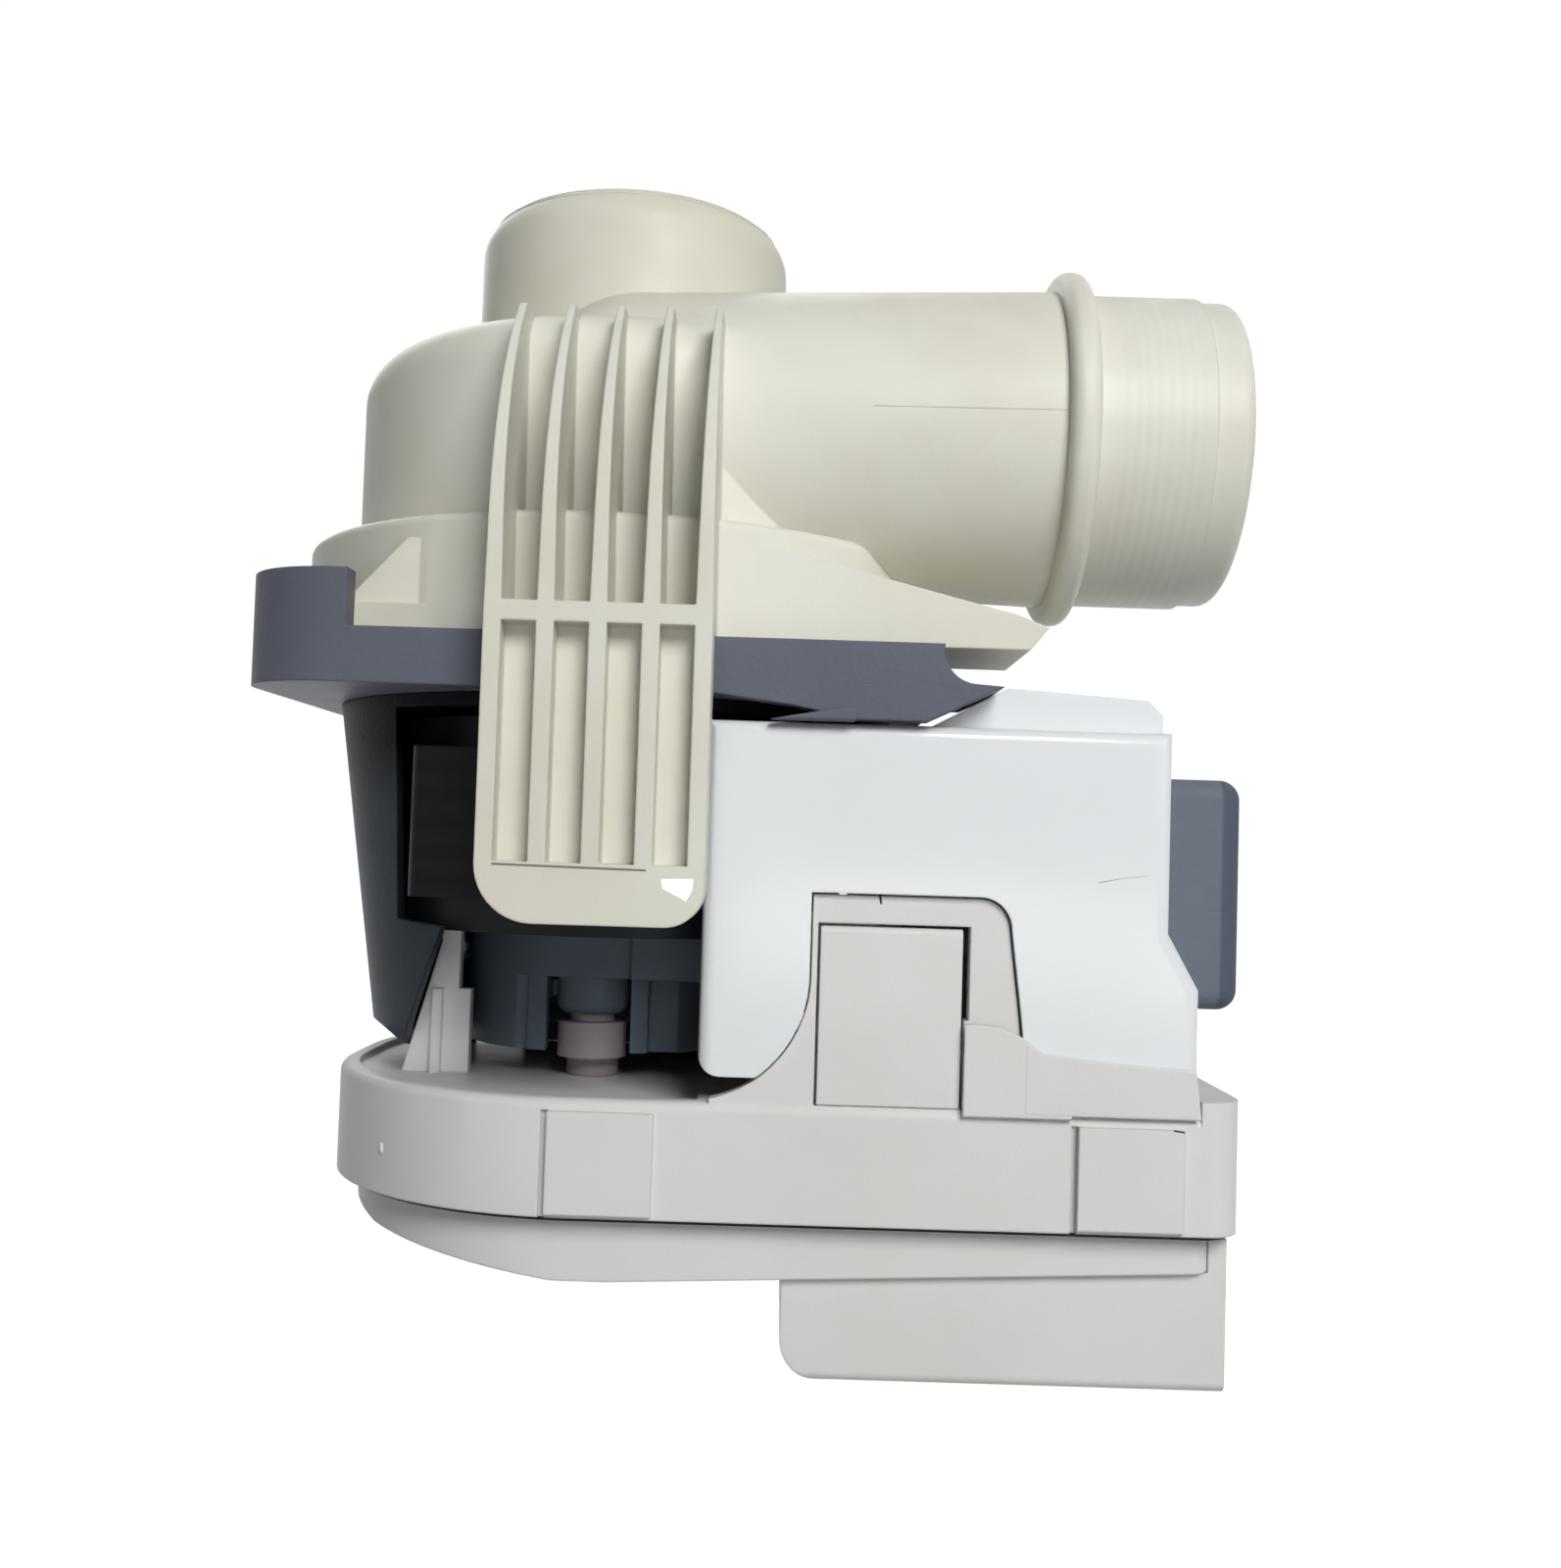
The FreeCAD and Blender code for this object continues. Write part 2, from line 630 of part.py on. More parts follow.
def motor_flange():
    """Grey square flange with hook walls at its corners and an ear at the right."""
    half = s.flange_half
    plate = rounded(box((-half, half), (-half, half), (flange_low, seam)), (upright, s.flange_corner))
    tip = seam - s.ear_drop
    notch = [
        (0, seam),
        (half - 0.3, seam),
        (half + 3.1, tip + 0.2, half + 0.5, seam - s.ear_drop * 0.66),
        (s.flange_ear, tip),
    ]
    ear = slab("XZ_Plane", notch + [
        (s.flange_ear - 3.3, flange_low),
        (0, flange_low),
    ], (-half, -half + 14))
    apron_low = flange_low - s.apron_drop
    apron = slab("XZ_Plane", notch + [
        (half - 1.9, apron_low),
        (half - 9.3, apron_low),
        (half - 16.3, flange_low - 1.0),
        (half - 24.3, flange_low),
        (0, flange_low),
    ], (-half, -half + 3))
    hook_top = seam + s.hook_height
    block = rounded(box((-half, half), (-half, half), (seam, hook_top)), (upright, s.flange_corner))
    inner = half - s.hook_thickness
    room = rounded(box((-inner, inner), (-inner, inner), (seam - 1, hook_top + 1)), (upright, 8.2))
    reach = half - s.hook_length
    gap_x = box((-reach, reach), (-half - 1, half + 1), (seam - 1, hook_top + 1))
    gap_y = box((-half - 1, half + 1), (-reach, reach), (seam - 1, hook_top + 1))
    front_right = box((0, half + 1), (-half - 1, 0), (seam - 1, hook_top + 1))
    hooks = cut(block, room, gap_x, gap_y, front_right)
    bore = rod(s.can_radius + CLEAR, (flange_low - 1, seam + 1))
    shape = join(plate, ear, apron, hooks)
    return node("motor_flange", cut(shape, bore, *bolt_shanks(flange_low - 1)))


def bolt_shanks(low):
    """Shanks of the three stator screws, from a level up into the flange."""
    return [rod(SHANK_RADIUS, (low, seam - 2), *polar(s.bolt_circle, angle)) for angle in SCREW_ANGLES]


def stator_screws():
    """Three long screws that pull the end shield and stator to the flange."""
    screws = []
    head_low = arm_low - 2.4
    for shank, angle in zip(bolt_shanks(arm_low), SCREW_ANGLES):
        head = rod(2.6, (head_low, arm_low), *polar(s.bolt_circle, angle))
        head = rounded(head, (lambda e: near(e, Z=head_low), 1.2))
        screws.append(join(shank, head))
    return node("stator_screws", group(*screws))


def motor_shell():
    """Tapered dark shell round the stator, chamfered at its foot and open in front."""
    foot_low = shell_low - s.shell_chamfer
    foot_radius = s.shell_low_radius - s.chamfer_reach
    wall = s.shell_wall
    shell = turned([
        (foot_radius, foot_low),
        (s.shell_low_radius, shell_low),
        (s.shell_top_radius, flange_low),
        (s.shell_top_radius - wall, flange_low),
        (s.shell_low_radius - wall, shell_low),
        (foot_radius - wall, foot_low),
    ])
    window_top = flange_low - 1.5
    sill = shell_low + 12.2
    edge = -s.shell_window
    window = slab("XZ_Plane", [
        (edge, window_top),
        (60, window_top),
        (60, foot_low - 1),
        (edge - 0.2, foot_low - 1),
        (edge + 6.1, sill),
        (edge, sill + 0.6),
    ], (-60, -13))
    side = box((0, 60), (-13, 13), (foot_low - 1, window_top))
    leg_slot = box((s.leg_right - 0.4, 40), (s.leg_front - 1.4, s.leg_front + 2.8), (foot_low - 1, shell_low))
    feet = []
    for angle in (60, 105, 150):
        foot = box((foot_radius - 2.0, foot_radius - 0.2), (-3, 3), (floor_top, foot_low + 0.8))
        feet.append(spin(foot, angle))
    shell = cut(shell, window, side, leg_slot)
    return node("motor_shell", join(shell, *feet))


def polar(radius, angle):
    """The x and y of a point at a radius and an angle in degrees."""
    turn = math.radians(angle)
    return radius * math.cos(turn), radius * math.sin(turn)


def separating_can():
    """Plastic can that keeps the water in, with its cover plate."""
    inner = s.can_radius - s.can_wall
    can = turned([
        (inner, plate_top),
        (s.seat_radius - 0.15, plate_top),
        (s.seat_radius - 0.15, seam),
        (s.can_radius, seam),
        (s.can_radius, can_low),
        (0, can_low),
        (0, can_low + 1.5),
        (inner, can_low + 1.5),
    ])
    soften(can, 0.8, lambda e: ring(e, s.can_radius, can_low))
    return node("separating_can", can)


def bearings():
    """Carbon bearings in their carriers, front at the impeller, rear in the can."""
    bore = s.shaft_radius + s.shaft_clearance
    inner = s.can_radius - s.can_wall
    seat = s.bearing_radius
    front_low = carrier_top - s.bearing_length
    rear_low = can_low + 1.5
    rear_top = rear_low + s.bearing_length
    carrier = turned([
        (seat, carrier_top),
        (inner + 3, carrier_top),
        (inner + 3, plate_top),
        (inner, plate_top),
        (inner, front_low + 1.5),
        (seat, front_low + 1.5),
    ])
    holes = [rod(1.5, (front_low - 1, carrier_top + 1), *polar(s.bearing_radius + 3.4, 60 * k)) for k in range(6)]
    node("front_bearing_carrier", cut(carrier, *holes))
    node("front_bearing", tube(seat, bore, (front_low, carrier_top)))
    node("rear_bearing_carrier", tube(inner, seat, (rear_low, rear_top - 1)))
    node("rear_bearing", tube(seat, bore, (rear_low, rear_top)))
    return front_low, rear_low, rear_top


def rotor(front_low, rear_low, rear_top):
    """Impeller, shaft, magnet and core, which spin together."""
    washer = 1.2
    core_top = front_low - 0.15 - washer
    core_low = core_top - s.rotor_length
    node("thrust_washer", tube(s.bearing_radius - 0.4, s.shaft_radius, (core_top, core_top + washer)))
    node("rotor_core", tube(s.rotor_core_radius, s.shaft_radius, (core_low, core_top)))
    magnet = tube(s.rotor_radius, s.rotor_core_radius, (core_low + 0.4, core_top - 0.4))
    node("rotor_magnet", rounded(magnet, (lambda e: isinstance(e.Curve, Part.Circle)
                                          and e.Curve.Radius > s.rotor_core_radius.number + 1, 0.6)))
    disc_low = carrier_top + s.impeller_gap
    disc_top = disc_low + s.impeller_height
    hub_top = disc_low + s.impeller_disc + 9
    eye_radius = s.inlet_radius - s.inlet_wall - s.eye_gap
    hub = rod(s.shaft_radius + 4, (disc_low - s.impeller_gap + 0.6, hub_top))
    hub = rounded(hub, (lambda e: near(e, Z=hub_top), 2.4))
    plate = rod(s.impeller_radius, (disc_low, disc_low + s.impeller_disc))
    shroud = rod(s.impeller_radius, (disc_top - s.impeller_disc, disc_top))
    eye = rod(eye_radius, (disc_top - s.impeller_disc, disc_top + 3.4))
    eye_bore = rod(eye_radius - 1.5, (disc_top - s.impeller_disc - 1, disc_top + 4.4))
    cap = cut(join(shroud, eye), eye_bore)
    blades = []
    for k in range(BLADE_COUNT):
        turn = 360 / BLADE_COUNT * k
        x, y = polar(s.impeller_radius * 0.56, turn)
        sweep = s.impeller_radius * 0.5
        arc = rod(sweep, (disc_low + 0.5, disc_top - 0.5), x, y)
        hole = rod(sweep - s.blade_thickness, (disc_low - 1, disc_top + 1), x, y)
        for round_bar in (arc, hole):
            round_bar.Angle = 125
            round_bar.Placement.Rotation = FreeCAD.Rotation(FreeCAD.Vector(0, 0, 1), turn + 10)
        blades.append(common(cut(arc, hole), rod(s.impeller_radius - 0.3, (disc_low, disc_top))))
    wheel = join(plate, hub, cap, *blades)
    shaft_hole = rod(s.shaft_radius, (disc_low - 10, hub_top - 2))
    node("impeller", cut(wheel, shaft_hole))
    shaft = rod(s.shaft_radius, (rear_low + 0.6, hub_top - 2))
    node("shaft", rounded(shaft, (lambda e: near(e, Z=rear_low + 0.6), 0.5)))


def stator():
    """Lamination stack with teeth, its insulators and the coils."""
    bore = s.can_radius + CLEAR
    zs = (stack_low, stack_top)
    body = join(
        rod(s.stack_radius, zs),
        rounded(box((-s.stack_half, s.stack_half), (-s.stack_front, 0), zs), (upright, 1.5)),
    )
    slots = tube(s.slot_high, s.slot_low, (stack_low - 1, stack_top + 1))
    teeth = []
    for k in range(TOOTH_COUNT):
        tooth = box((s.slot_low - 1, s.slot_high + 1), (-s.tooth_width / 2, s.tooth_width / 2), zs)
        teeth.append(spin(tooth, 360 / TOOTH_COUNT * k))
    openings = []
    for k in range(TOOTH_COUNT):
        opening = box((bore - 2, s.slot_low + 1), (-1.2, 1.2), (stack_low - 1, stack_top + 1))
        openings.append(spin(opening, 360 / TOOTH_COUNT * (k + 0.5)))
    core = cut(
        join(cut(body, slots), *teeth),
        rod(bore, (stack_low - 1, stack_top + 1)),
        *openings,
        *bolt_shanks(stack_low - 1),
    )
    node("stator_stack", core)
    cap = 1.0
    for name, low, crown in (
        ("upper_insulator", stack_top, (stack_top, stack_top + 4)),
        ("lower_insulator", stack_low - cap, (stack_low - 4, stack_low)),
    ):
        wall = tube(s.slot_high + 2.5, s.slot_high + 0.6, crown)
        lip = tube(s.slot_low, bore + 0.4, (low, low + cap))
        lids = []
        for k in range(TOOTH_COUNT):
            lid = box((s.slot_low - 0.5, s.slot_high + 0.8),
                      (-s.tooth_width / 2, s.tooth_width / 2), (low, low + cap))
            lids.append(spin(lid, 360 / TOOTH_COUNT * k))
        node(name, cut(join(wall, lip, *lids), *bolt_shanks(crown[0] - 1)))
    coils = []
    for k in range(TOOTH_COUNT):
        half = s.tooth_width / 2 + 0.3
        xs = (s.slot_low + 0.5, s.slot_high - 1.1)
        window = box((s.slot_low - 1, s.slot_high + 1), (-half, half),
                     (stack_low - cap - 0.2, stack_top + cap + 0.2))
        wide = half + s.coil_thickness - 0.6
        tall = s.coil_thickness
        hank = box(xs, (-wide, wide), (stack_low - cap - tall, stack_top + cap + tall))
        hank = rounded(hank, (lambda e: abs(e.BoundBox.XMax - e.BoundBox.XMin - e.Length) < 0.01, 2.0))
        coils.append(spin(cut(hank, window), 360 / TOOTH_COUNT * k))
    node("stator_coils", group(*coils))


def spin(thing, angle):
    """Turn an object about the pump axis by degrees."""
    base = thing.Placement
    turn = FreeCAD.Rotation(FreeCAD.Vector(0, 0, 1), angle)
    if angle == 0:
        return thing
    holder = doc.addObject("Part::Compound", "Spun")
    holder.Links = [thing]
    holder.Placement = FreeCAD.Placement(FreeCAD.Vector(), turn)
    return holder


def end_shield():
    """Dark cup that closes the stator below, with its column, ribs and pockets."""
    radius = s.shield_radius
    can_room = s.can_radius + CLEAR
    floor_low = can_low - CLEAR - 2
    cup_low = floor_top + s.cup_gap
    pillar_low = floor_top + s.boss_low
    body = rod(radius, (floor_low, shield_top))
    cup = tube(radius, radius - 2.0, (cup_low, floor_low + 0.5))
    block = box((4.2, 13.2), (-radius - 0.9, -s.boss_front + 1), (shield_low, shield_top))
    front = (-radius - 2, -radius + 2.8)
    pockets = [
        box((-14.8, -8.2), front, (cup_low - 1, shield_low)),
        box((-5.8, 4.2), (-radius - 2, -radius + 6), (cup_low - 1, shield_low)),
        box((6.2, 14.0), front, (cup_low - 1, shield_low)),
    ]
    column = rod(s.boss_radius, (pillar_low, shield_top - 1.3), -s.boss_left, -s.boss_front)
    column = rounded(column, (lambda e: near(e, Z=pillar_low), 1.4))
    arms = []
    for angle in SCREW_ANGLES:
        arms.append(spin(box((radius - 1, s.bolt_circle), (-2.6, 2.6), (arm_low, shield_top)), angle))
        arms.append(rod(2.9, (arm_low, shield_top), *polar(s.bolt_circle, angle)))
    shape = join(cut(join(body, cup, block), *pockets), column, *arms)
    room = rod(can_room, (can_low - CLEAR, shield_top + 1))
    node("end_shield", cut(shape, room, *bolt_shanks(arm_low - 1)))
    foot_top = pillar_low - 0.9
    foot_low = floor_top + s.bush_low
    foot = rod(s.bush_radius, (foot_low, foot_top), -s.boss_left, -s.boss_front)
    stub = rod(s.bush_radius - 1.5, (foot_top - 0.5, pillar_low), -s.boss_left, -s.boss_front)
    post = rod(s.bush_radius - 1.0, (floor_top, foot_low + 0.5), -s.boss_left, -s.boss_front + 1.5)
    node("rubber_foot", join(foot, stub, post))


def support_legs():
    """White gussets that stand on the control box beside the end shield."""
    step = floor_top + 10.0
    bend = floor_top + 15.6
    leg_top = stack_low - 4.3
    inner, outer = -s.leg_right, -s.leg_left
    outline = [
        (outer, floor_top),
        (inner, floor_top),
        (inner, step),
        (inner - 1.4, step),
        (inner - 1.4, leg_top),
        (inner - 3.6, leg_top),
        (inner - 3.6, bend),
    ]
    front = -s.leg_front
    legs = []
    for angle in (0, 180):
        gusset = slab("XZ_Plane", outline, (front - 1.0, front + 1.0))
        ridge = box((inner - 4.4, inner - 3.2), (front - 2.2, front - 0.5), (floor_top, step))
        legs.append(spin(join(gusset, ridge), angle))
    return node("support_legs", group(*legs))


def arch_outline(grow):
    """Outline of the latch panel, or of the arch round it when grown."""
    left, right, low = s.arch_left, s.arch_right, box_top
    high = box_top + s.arch_height
    foot, bend = s.arch_foot, s.arch_round
    return [
        (left - foot + 3.0, low - 0.5),
        (left - foot + 3.0, low + 0.34 + grow),
        (left - grow, low + foot, left - foot * 0.293 - grow * 0.707, low + foot * 0.293 + grow * 0.707),
        (left - grow, high + grow),
        (right - bend, high + grow),
        (right + grow, high - bend, right - bend * 0.293 + grow * 0.707, high - bend * 0.293 + grow * 0.707),
        (right + 1.2 + grow, low + 9.8),
        (right + 2.2 + grow, low - 0.5),
    ]


def terminal_cover():
    """White cover over the stator's leads, with an arch for the latch panel."""
    top = flange_low - s.cover_drop
    left, right, wall = s.cover_left, s.cover_right, s.cover_wall
    foot = right + s.cover_flare
    front, back = -s.cover_front, s.cover_back

    def side(inset, base):
        return [
            (left + inset, base),
            (left + inset, top - inset),
            (right - inset, top - inset),
            (right - inset, box_top + FLARE_TOP),
            (foot - inset, box_top + FLARE_LOW),
            (foot - inset, base),
        ]

    outer = slab("XZ_Plane", side(0, box_top), (front, back))
    soften(outer, 1.6, lambda e: near(e, Y=0) and not near(e, Z=box_top))
    inner = slab("XZ_Plane", side(wall, box_top - 1), (front + wall, back - wall))
    hump_top = top + s.cover_raise
    hump = slab("XZ_Plane", [
        (right - 25.9, top - 0.5),
        (right - 25.9, top),
        (right - 17.3, hump_top + 0.2),
        (right - 2.0, hump_top - 0.7),
        (right - 0.4, hump_top - 2.3),
        (right - 0.4, top - 0.5),
    ], (front + 4, back - 4))
    hump_room = slab("XZ_Plane", [
        (right - 22.7, top - wall - 1),
        (right - 22.7, top),
        (right - 16.9, hump_top - 1.4),
        (right - 3.0, hump_top - 2.3),
        (right - 2.4, hump_top - 3.2),
        (right - 2.4, top - wall - 1),
    ], (front + 5.6, back - 5.6))
    arch = slab("XZ_Plane", arch_outline(s.panel_gap), (front - 1, front + wall + 0.1))
    lobe_low, bend = box_top + 2.8, 2.4
    lobe = slab("XZ_Plane", [
        (left - 1, box_top - 1),
        (left + 7, box_top - 1),
        (left + 7, lobe_low),
        (left + bend, lobe_low),
        (left, lobe_low + bend, left + bend * 0.293, lobe_low + bend * 0.293),
        (left - 1, lobe_low + bend),
    ], (front - 1, front + 12))
    room = common(
        rod(s.shell_top_radius + 0.8, (box_top - 1, top + 1)),
        box((-40, 40), (-s.stack_front - 1.2, 40), (box_top - 1, top + 1)),
    )
    shape = cut(join(outer, hump), inner, hump_room, arch, lobe, room)
    return node("terminal_cover", shape)


def box_block(inset, low, high):
    """A block with the control box's outline, inset all round."""
    left, right = -s.box_left + inset, s.box_right - inset
    block = box((left, right), (-s.box_front + inset, s.box_front - inset), (low, high))
    return rounded(
        block,
        (lambda e: upright(e) and near(e, X=left), s.box_round - inset),
        (lambda e: upright(e) and near(e, X=right), s.box_corner - value(inset) * 0.6),
    )


def lead_slots():
    """Slots in the box top for the three phase terminals."""
    low = s.terminal_reach - 0.2
    high = s.terminal_reach + s.terminal_thickness + 0.2
    return [box((low, high), (y - 1.8, y + 1.8), (ceiling - 1, floor_top + 1)) for y in TERMINAL_ROWS]


def control_box_lid():
    """Light grey top of the control box, with its band and latch panel."""
    block = box_block(0, band_low, box_top)
    block = rounded(block, (lambda e: near(e, Z=box_top), 1.1))
    inside = box_block(s.box_wall, band_low - 1, ceiling)
    sunk = box_block(s.box_rim, floor_top, box_top + 1)
    cover_foot = box((s.cover_left, s.box_right - 1), (-s.box_front + s.box_rim - 1, -s.box_front + 6),
                     (ceiling + 0.1, box_top))
    front = -s.box_front + 0.4
    panel = slab("XZ_Plane", arch_outline(0), (front, front + 2.2))
    slit = s.latch_slit
    slot = box((s.latch_left - slit, s.latch_right + slit), (front - 1, front + 4),
               (box_top, box_top + s.latch_height + slit))
    wide_slit = box((s.latch_right, s.latch_right + slit + 0.5), (front - 1, front + 4),
                    (box_top + 9.4, box_top + s.latch_height + slit))
    fold = s.latch_right + slit
    lobe_front = -s.cover_front - 0.4
    lobe = slab("XZ_Plane", [
        (fold, box_top - 0.5),
        (fold, box_top + 9.1),
        (fold + 11.5, box_top - 0.5, fold + 8.0, box_top + 6.6),
    ], (lobe_front, -s.cover_front - 0.05))
    lobe_root = box((fold, s.arch_right + 0.6), (-s.cover_front - 0.06, front + 0.1), (box_top - 0.5, box_top + 6.0))
    ledge_low = s.box_right - 4.8
    ledge = common(
        box_block(0, box_top - 2, box_top + s.box_ledge),
        box((ledge_low, s.box_right), (-s.box_front, s.box_front), (box_top - 2, box_top + s.box_ledge)),
    )
    pads, grooves = [], []
    for x in (-2.5, 53.5):
        for face in (-1, 1):
            y = face * s.box_front
            ys = (y - 0.6, y + 0.6)
            pads.append(box((x, x + 11.2), ys, (band_low + 0.4, box_top - 1.3)))
            grooves.append(box((x - 0.7, x), ys, (band_low - 1, box_top - 1.3)))
    shape = join(cut(block, inside, cut(sunk, cover_foot)), panel, lobe, lobe_root, ledge, *pads)
    return node("control_box_lid", cut(shape, slot, wide_slit, *grooves, *lead_slots()))


def release_latch():
    """Springy tongue that locks the terminal cover to the box."""
    front = -s.box_front + 0.4
    low = box_top + 0.08
    top = box_top + s.latch_height
    blade = box((s.latch_left, s.latch_right), (front, front + 1.8), (low, top))
    blade = rounded(blade, (lambda e: near(e, Y=front, Z=top), 0.7))
    hook = slab("YZ_Plane", [
        (front + 1.7, top - 4.6),
        (front + 3.4, top - 1.8),
        (front + 3.4, top - 1.0),
        (front + 1.7, top - 1.0),
    ], (s.latch_left + 2.5, s.latch_right - 2.5))
    return node("release_latch", join(blade, hook))


def dish(grow, lower):
    """The bottom cover's outer form, grown and lowered for what fits round it."""
    block = box_block(s.dish_inset - grow, dish_low - 1, band_low)
    wedge = slab("XZ_Plane", [
        (-s.box_left, band_low),
        (-s.box_left, band_low - 2.0 - lower),
        (-s.box_left + 8, dish_low + 2.75 - lower),
        (-s.box_left + 30, dish_low - lower),
        (-s.box_left + 36, dish_low - lower),
        (s.box_right, dish_low + s.dish_rise + 0.2 - lower),
        (s.box_right, band_low),
    ], (-s.box_front, s.box_front))
    return common(block, wedge)


def control_box_base():
    """Bottom cover of the control box, a shallow dish with an upstand."""
    outer = dish(0, 0)
    upstand = box_block(s.box_wall + CLEAR, band_low, board_low)
    inset = s.dish_inset + 1.8
    hollow = common(
        box_block(inset, dish_low, board_low + 1),
        slab("XZ_Plane", [
            (-s.box_left, board_low + 1),
            (-s.box_left, band_low),
            (-s.box_left + 8, dish_low + 4.6),
            (-s.box_left + 30, dish_low + 1.8),
            (-s.box_left + 36, dish_low + 1.8),
            (s.box_right, dish_low + s.dish_rise + 2.0),
            (s.box_right, board_low + 1),
        ], (-s.box_front, s.box_front)),
    )
    window = box((s.socket_left + 8, s.socket_left + 24), (-28, 8), (dish_low - 2, band_low))
    return node("control_box_base", cut(join(outer, upstand), hollow, window))


def box_seal():
    """Rubber seal that shows as the dark line under the band."""
    ring_low = band_low - 0.5
    outer = box_block(1.0, ring_low, band_low)
    inner = box_block(s.dish_inset, ring_low - 1, band_low + 1)
    return node("box_seal", cut(outer, inner))


SOCKETS = ((-29.0, 15.0), (-11.0, 13.0))


def pins():
    """Mains blades and signal pins, bent up to the board."""
    wall = s.box_right - 20
    blades, wires = [], []
    for k in range(3):
        y = SOCKETS[0][0] + 2.0 + 4.1 * k
        run = box((wall - 8, s.box_right - 8), (y, y + 2.8), (socket_low + 6.2, socket_low + 7.0))
        rise = box((wall - 8.8, wall - 8), (y, y + 2.8), (socket_low + 6.2, board_low))
        blades.append(join(run, rise))
    for k in range(4):
        y = SOCKETS[1][0] + 2.6 + 2.5 * k
        run = box((wall - 5, s.box_right - 8), (y, y + 0.64), (socket_low + 6.2, socket_low + 6.84))
        rise = box((wall - 5.64, wall - 5), (y, y + 0.64), (socket_low + 6.2, board_low))
        wires.append(join(run, rise))
    return blades, wires


def connector_housing():
    """Box under the bottom cover with two open sockets on its right side."""
    xs = (s.socket_left, s.box_right - 0.9)
    block = box(xs, (-s.socket_front, s.socket_back), (socket_low, band_low - 0.9))
    block = rounded(
        block,
        (lambda e: near(e, X=s.socket_left, Z=socket_low), 4.5),
        (lambda e: near(e, Z=socket_low, Y=-s.socket_front) or near(e, Z=socket_low, Y=s.socket_back), 1.2),
    )
    wall = s.box_right - 20
    inside = box((s.socket_left + s.socket_wall, wall - s.socket_wall),
                 (-s.socket_front + s.socket_wall, s.socket_back - s.socket_wall),
                 (socket_low + s.socket_wall, band_low))
    mouths = []
    for y, width in SOCKETS:
        mouths.append(box((wall, s.box_right + 2), (y, y + width), (socket_low + 2.2, socket_low + 10.8)))
    blades, wires = pins()
    node("power_pins", group(*blades))
    node("signal_pins", group(*wires))
    return node("connector_housing", cut(block, dish(0.1, 0.1), inside, *mouths, *blades, *wires))


def electronics():
    """Circuit board and the parts that hang under it."""
    node("circuit_board", box_block(s.box_wall + 0.6, board_low, board_top))
    cans = []
    for y in (-9.6, 0.4):
        can = rod(4.6, (-8, 14), y, board_low - 4.65, "X")
        cans.append(rounded(can, (lambda e: isinstance(e.Curve, Part.Circle), 0.8)))
    node("smoothing_capacitors", group(*cans))
    coil = doc.addObject("Part::Torus", "Ring")
    tie(coil, Radius1=6.0, Radius2=2.6)
    place(coil, -15.5, 12.5, board_low - 2.65)
    node("mains_choke", coil)
    node("film_capacitor", brick((-19.5, -8), (-22, -15), 6.6))
    node("power_module", brick((22, 46), (13, 27), 3.8))
    node("controller_chip", brick((2, 12), (12, 22), 1.2))
    node("bridge_rectifier", brick((18, 27), (-26, -9), 3.9))
    fuse = rod(2.6, (-24, -9), 57, board_low - 2.65, "Y")
    node("mains_fuse", rounded(fuse, (lambda e: isinstance(e.Curve, Part.Circle), 0.5)))
    node("heat_spreader", rounded(box((20, 48), (11, 29), (board_top, ceiling)), (upright, 2.0)))


def brick(xs, ys, height):
    """A moulded part of the board, rounded at its lower edges."""
    thing = box(xs, ys, (board_low - height, board_low))
    return rounded(thing, (lambda e: near(e, Z=board_low - height) or upright(e), 0.5))


def phase_terminals():
    """Three bent strips that carry the windings' current to the board."""
    strips = []
    low, high = s.terminal_reach, s.terminal_reach + s.terminal_thickness
    bend = stack_low - 1.5
    for y in TERMINAL_ROWS:
        rise = box((low, high), (y - 1.5, y + 1.5), (board_top, bend))
        tab = box((low - 1.3, high), (y - 1.5, y + 1.5), (bend - s.terminal_thickness, bend))
        strips.append(join(rise, tab))
    return node("phase_terminals", group(*strips))


def damper():
    """Dark rubber pad on the side of the cover, and the plate that holds it."""
    right = s.cover_right
    face = right + 3.6
    pad_top = flange_low - s.pad_drop
    pad_low = pad_top - s.pad_height
    low = box_top + FLARE_LOW + 0.7
    plate = slab("XZ_Plane", [
        (right, pad_top - 2),
        (face, pad_top - 2),
        (face, low),
        (right + s.cover_flare * 0.882, low),
        (right, box_top + FLARE_TOP),
    ], (-s.pad_front + 4, s.pad_back - 4))
    node("pad_holder", plate)
    pad = box((face, face + s.pad_reach), (-s.pad_front, s.pad_back), (pad_low, pad_top))
    pad = rounded(pad, (lambda e: not near(e, X=face), 2.4))
    node("damper_pad", pad)


volute_housing()
volute_seal()
motor_flange()
motor_shell()
separating_can()
rotor(*bearings())
stator()
stator_screws()
end_shield()
support_legs()
phase_terminals()
terminal_cover()
control_box_lid()
release_latch()
control_box_base()
box_seal()
connector_housing()
electronics()
damper()


def check():
    """Stop if any object failed or any sub-part isn't a sound solid."""
    doc.recompute()
    bad = [o.Name for o in doc.Objects if {"Invalid", "Error"} & set(o.State)]
    for thing in nodes:
        if thing.Shape.isNull() or not thing.Shape.isValid() or not thing.Shape.Solids:
            bad.append(thing.Label)
    if bad:
        raise RuntimeError("failed: " + ", ".join(bad))


check()
os.makedirs("parts", exist_ok=True)
for thing in nodes:
    thing.Shape.exportStep(f"parts/{thing.Label}.step")
    print(f"{thing.Label}: {len(thing.Shape.Solids)} solid, {thing.Shape.Volume:.0f} mm3")
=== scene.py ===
import math

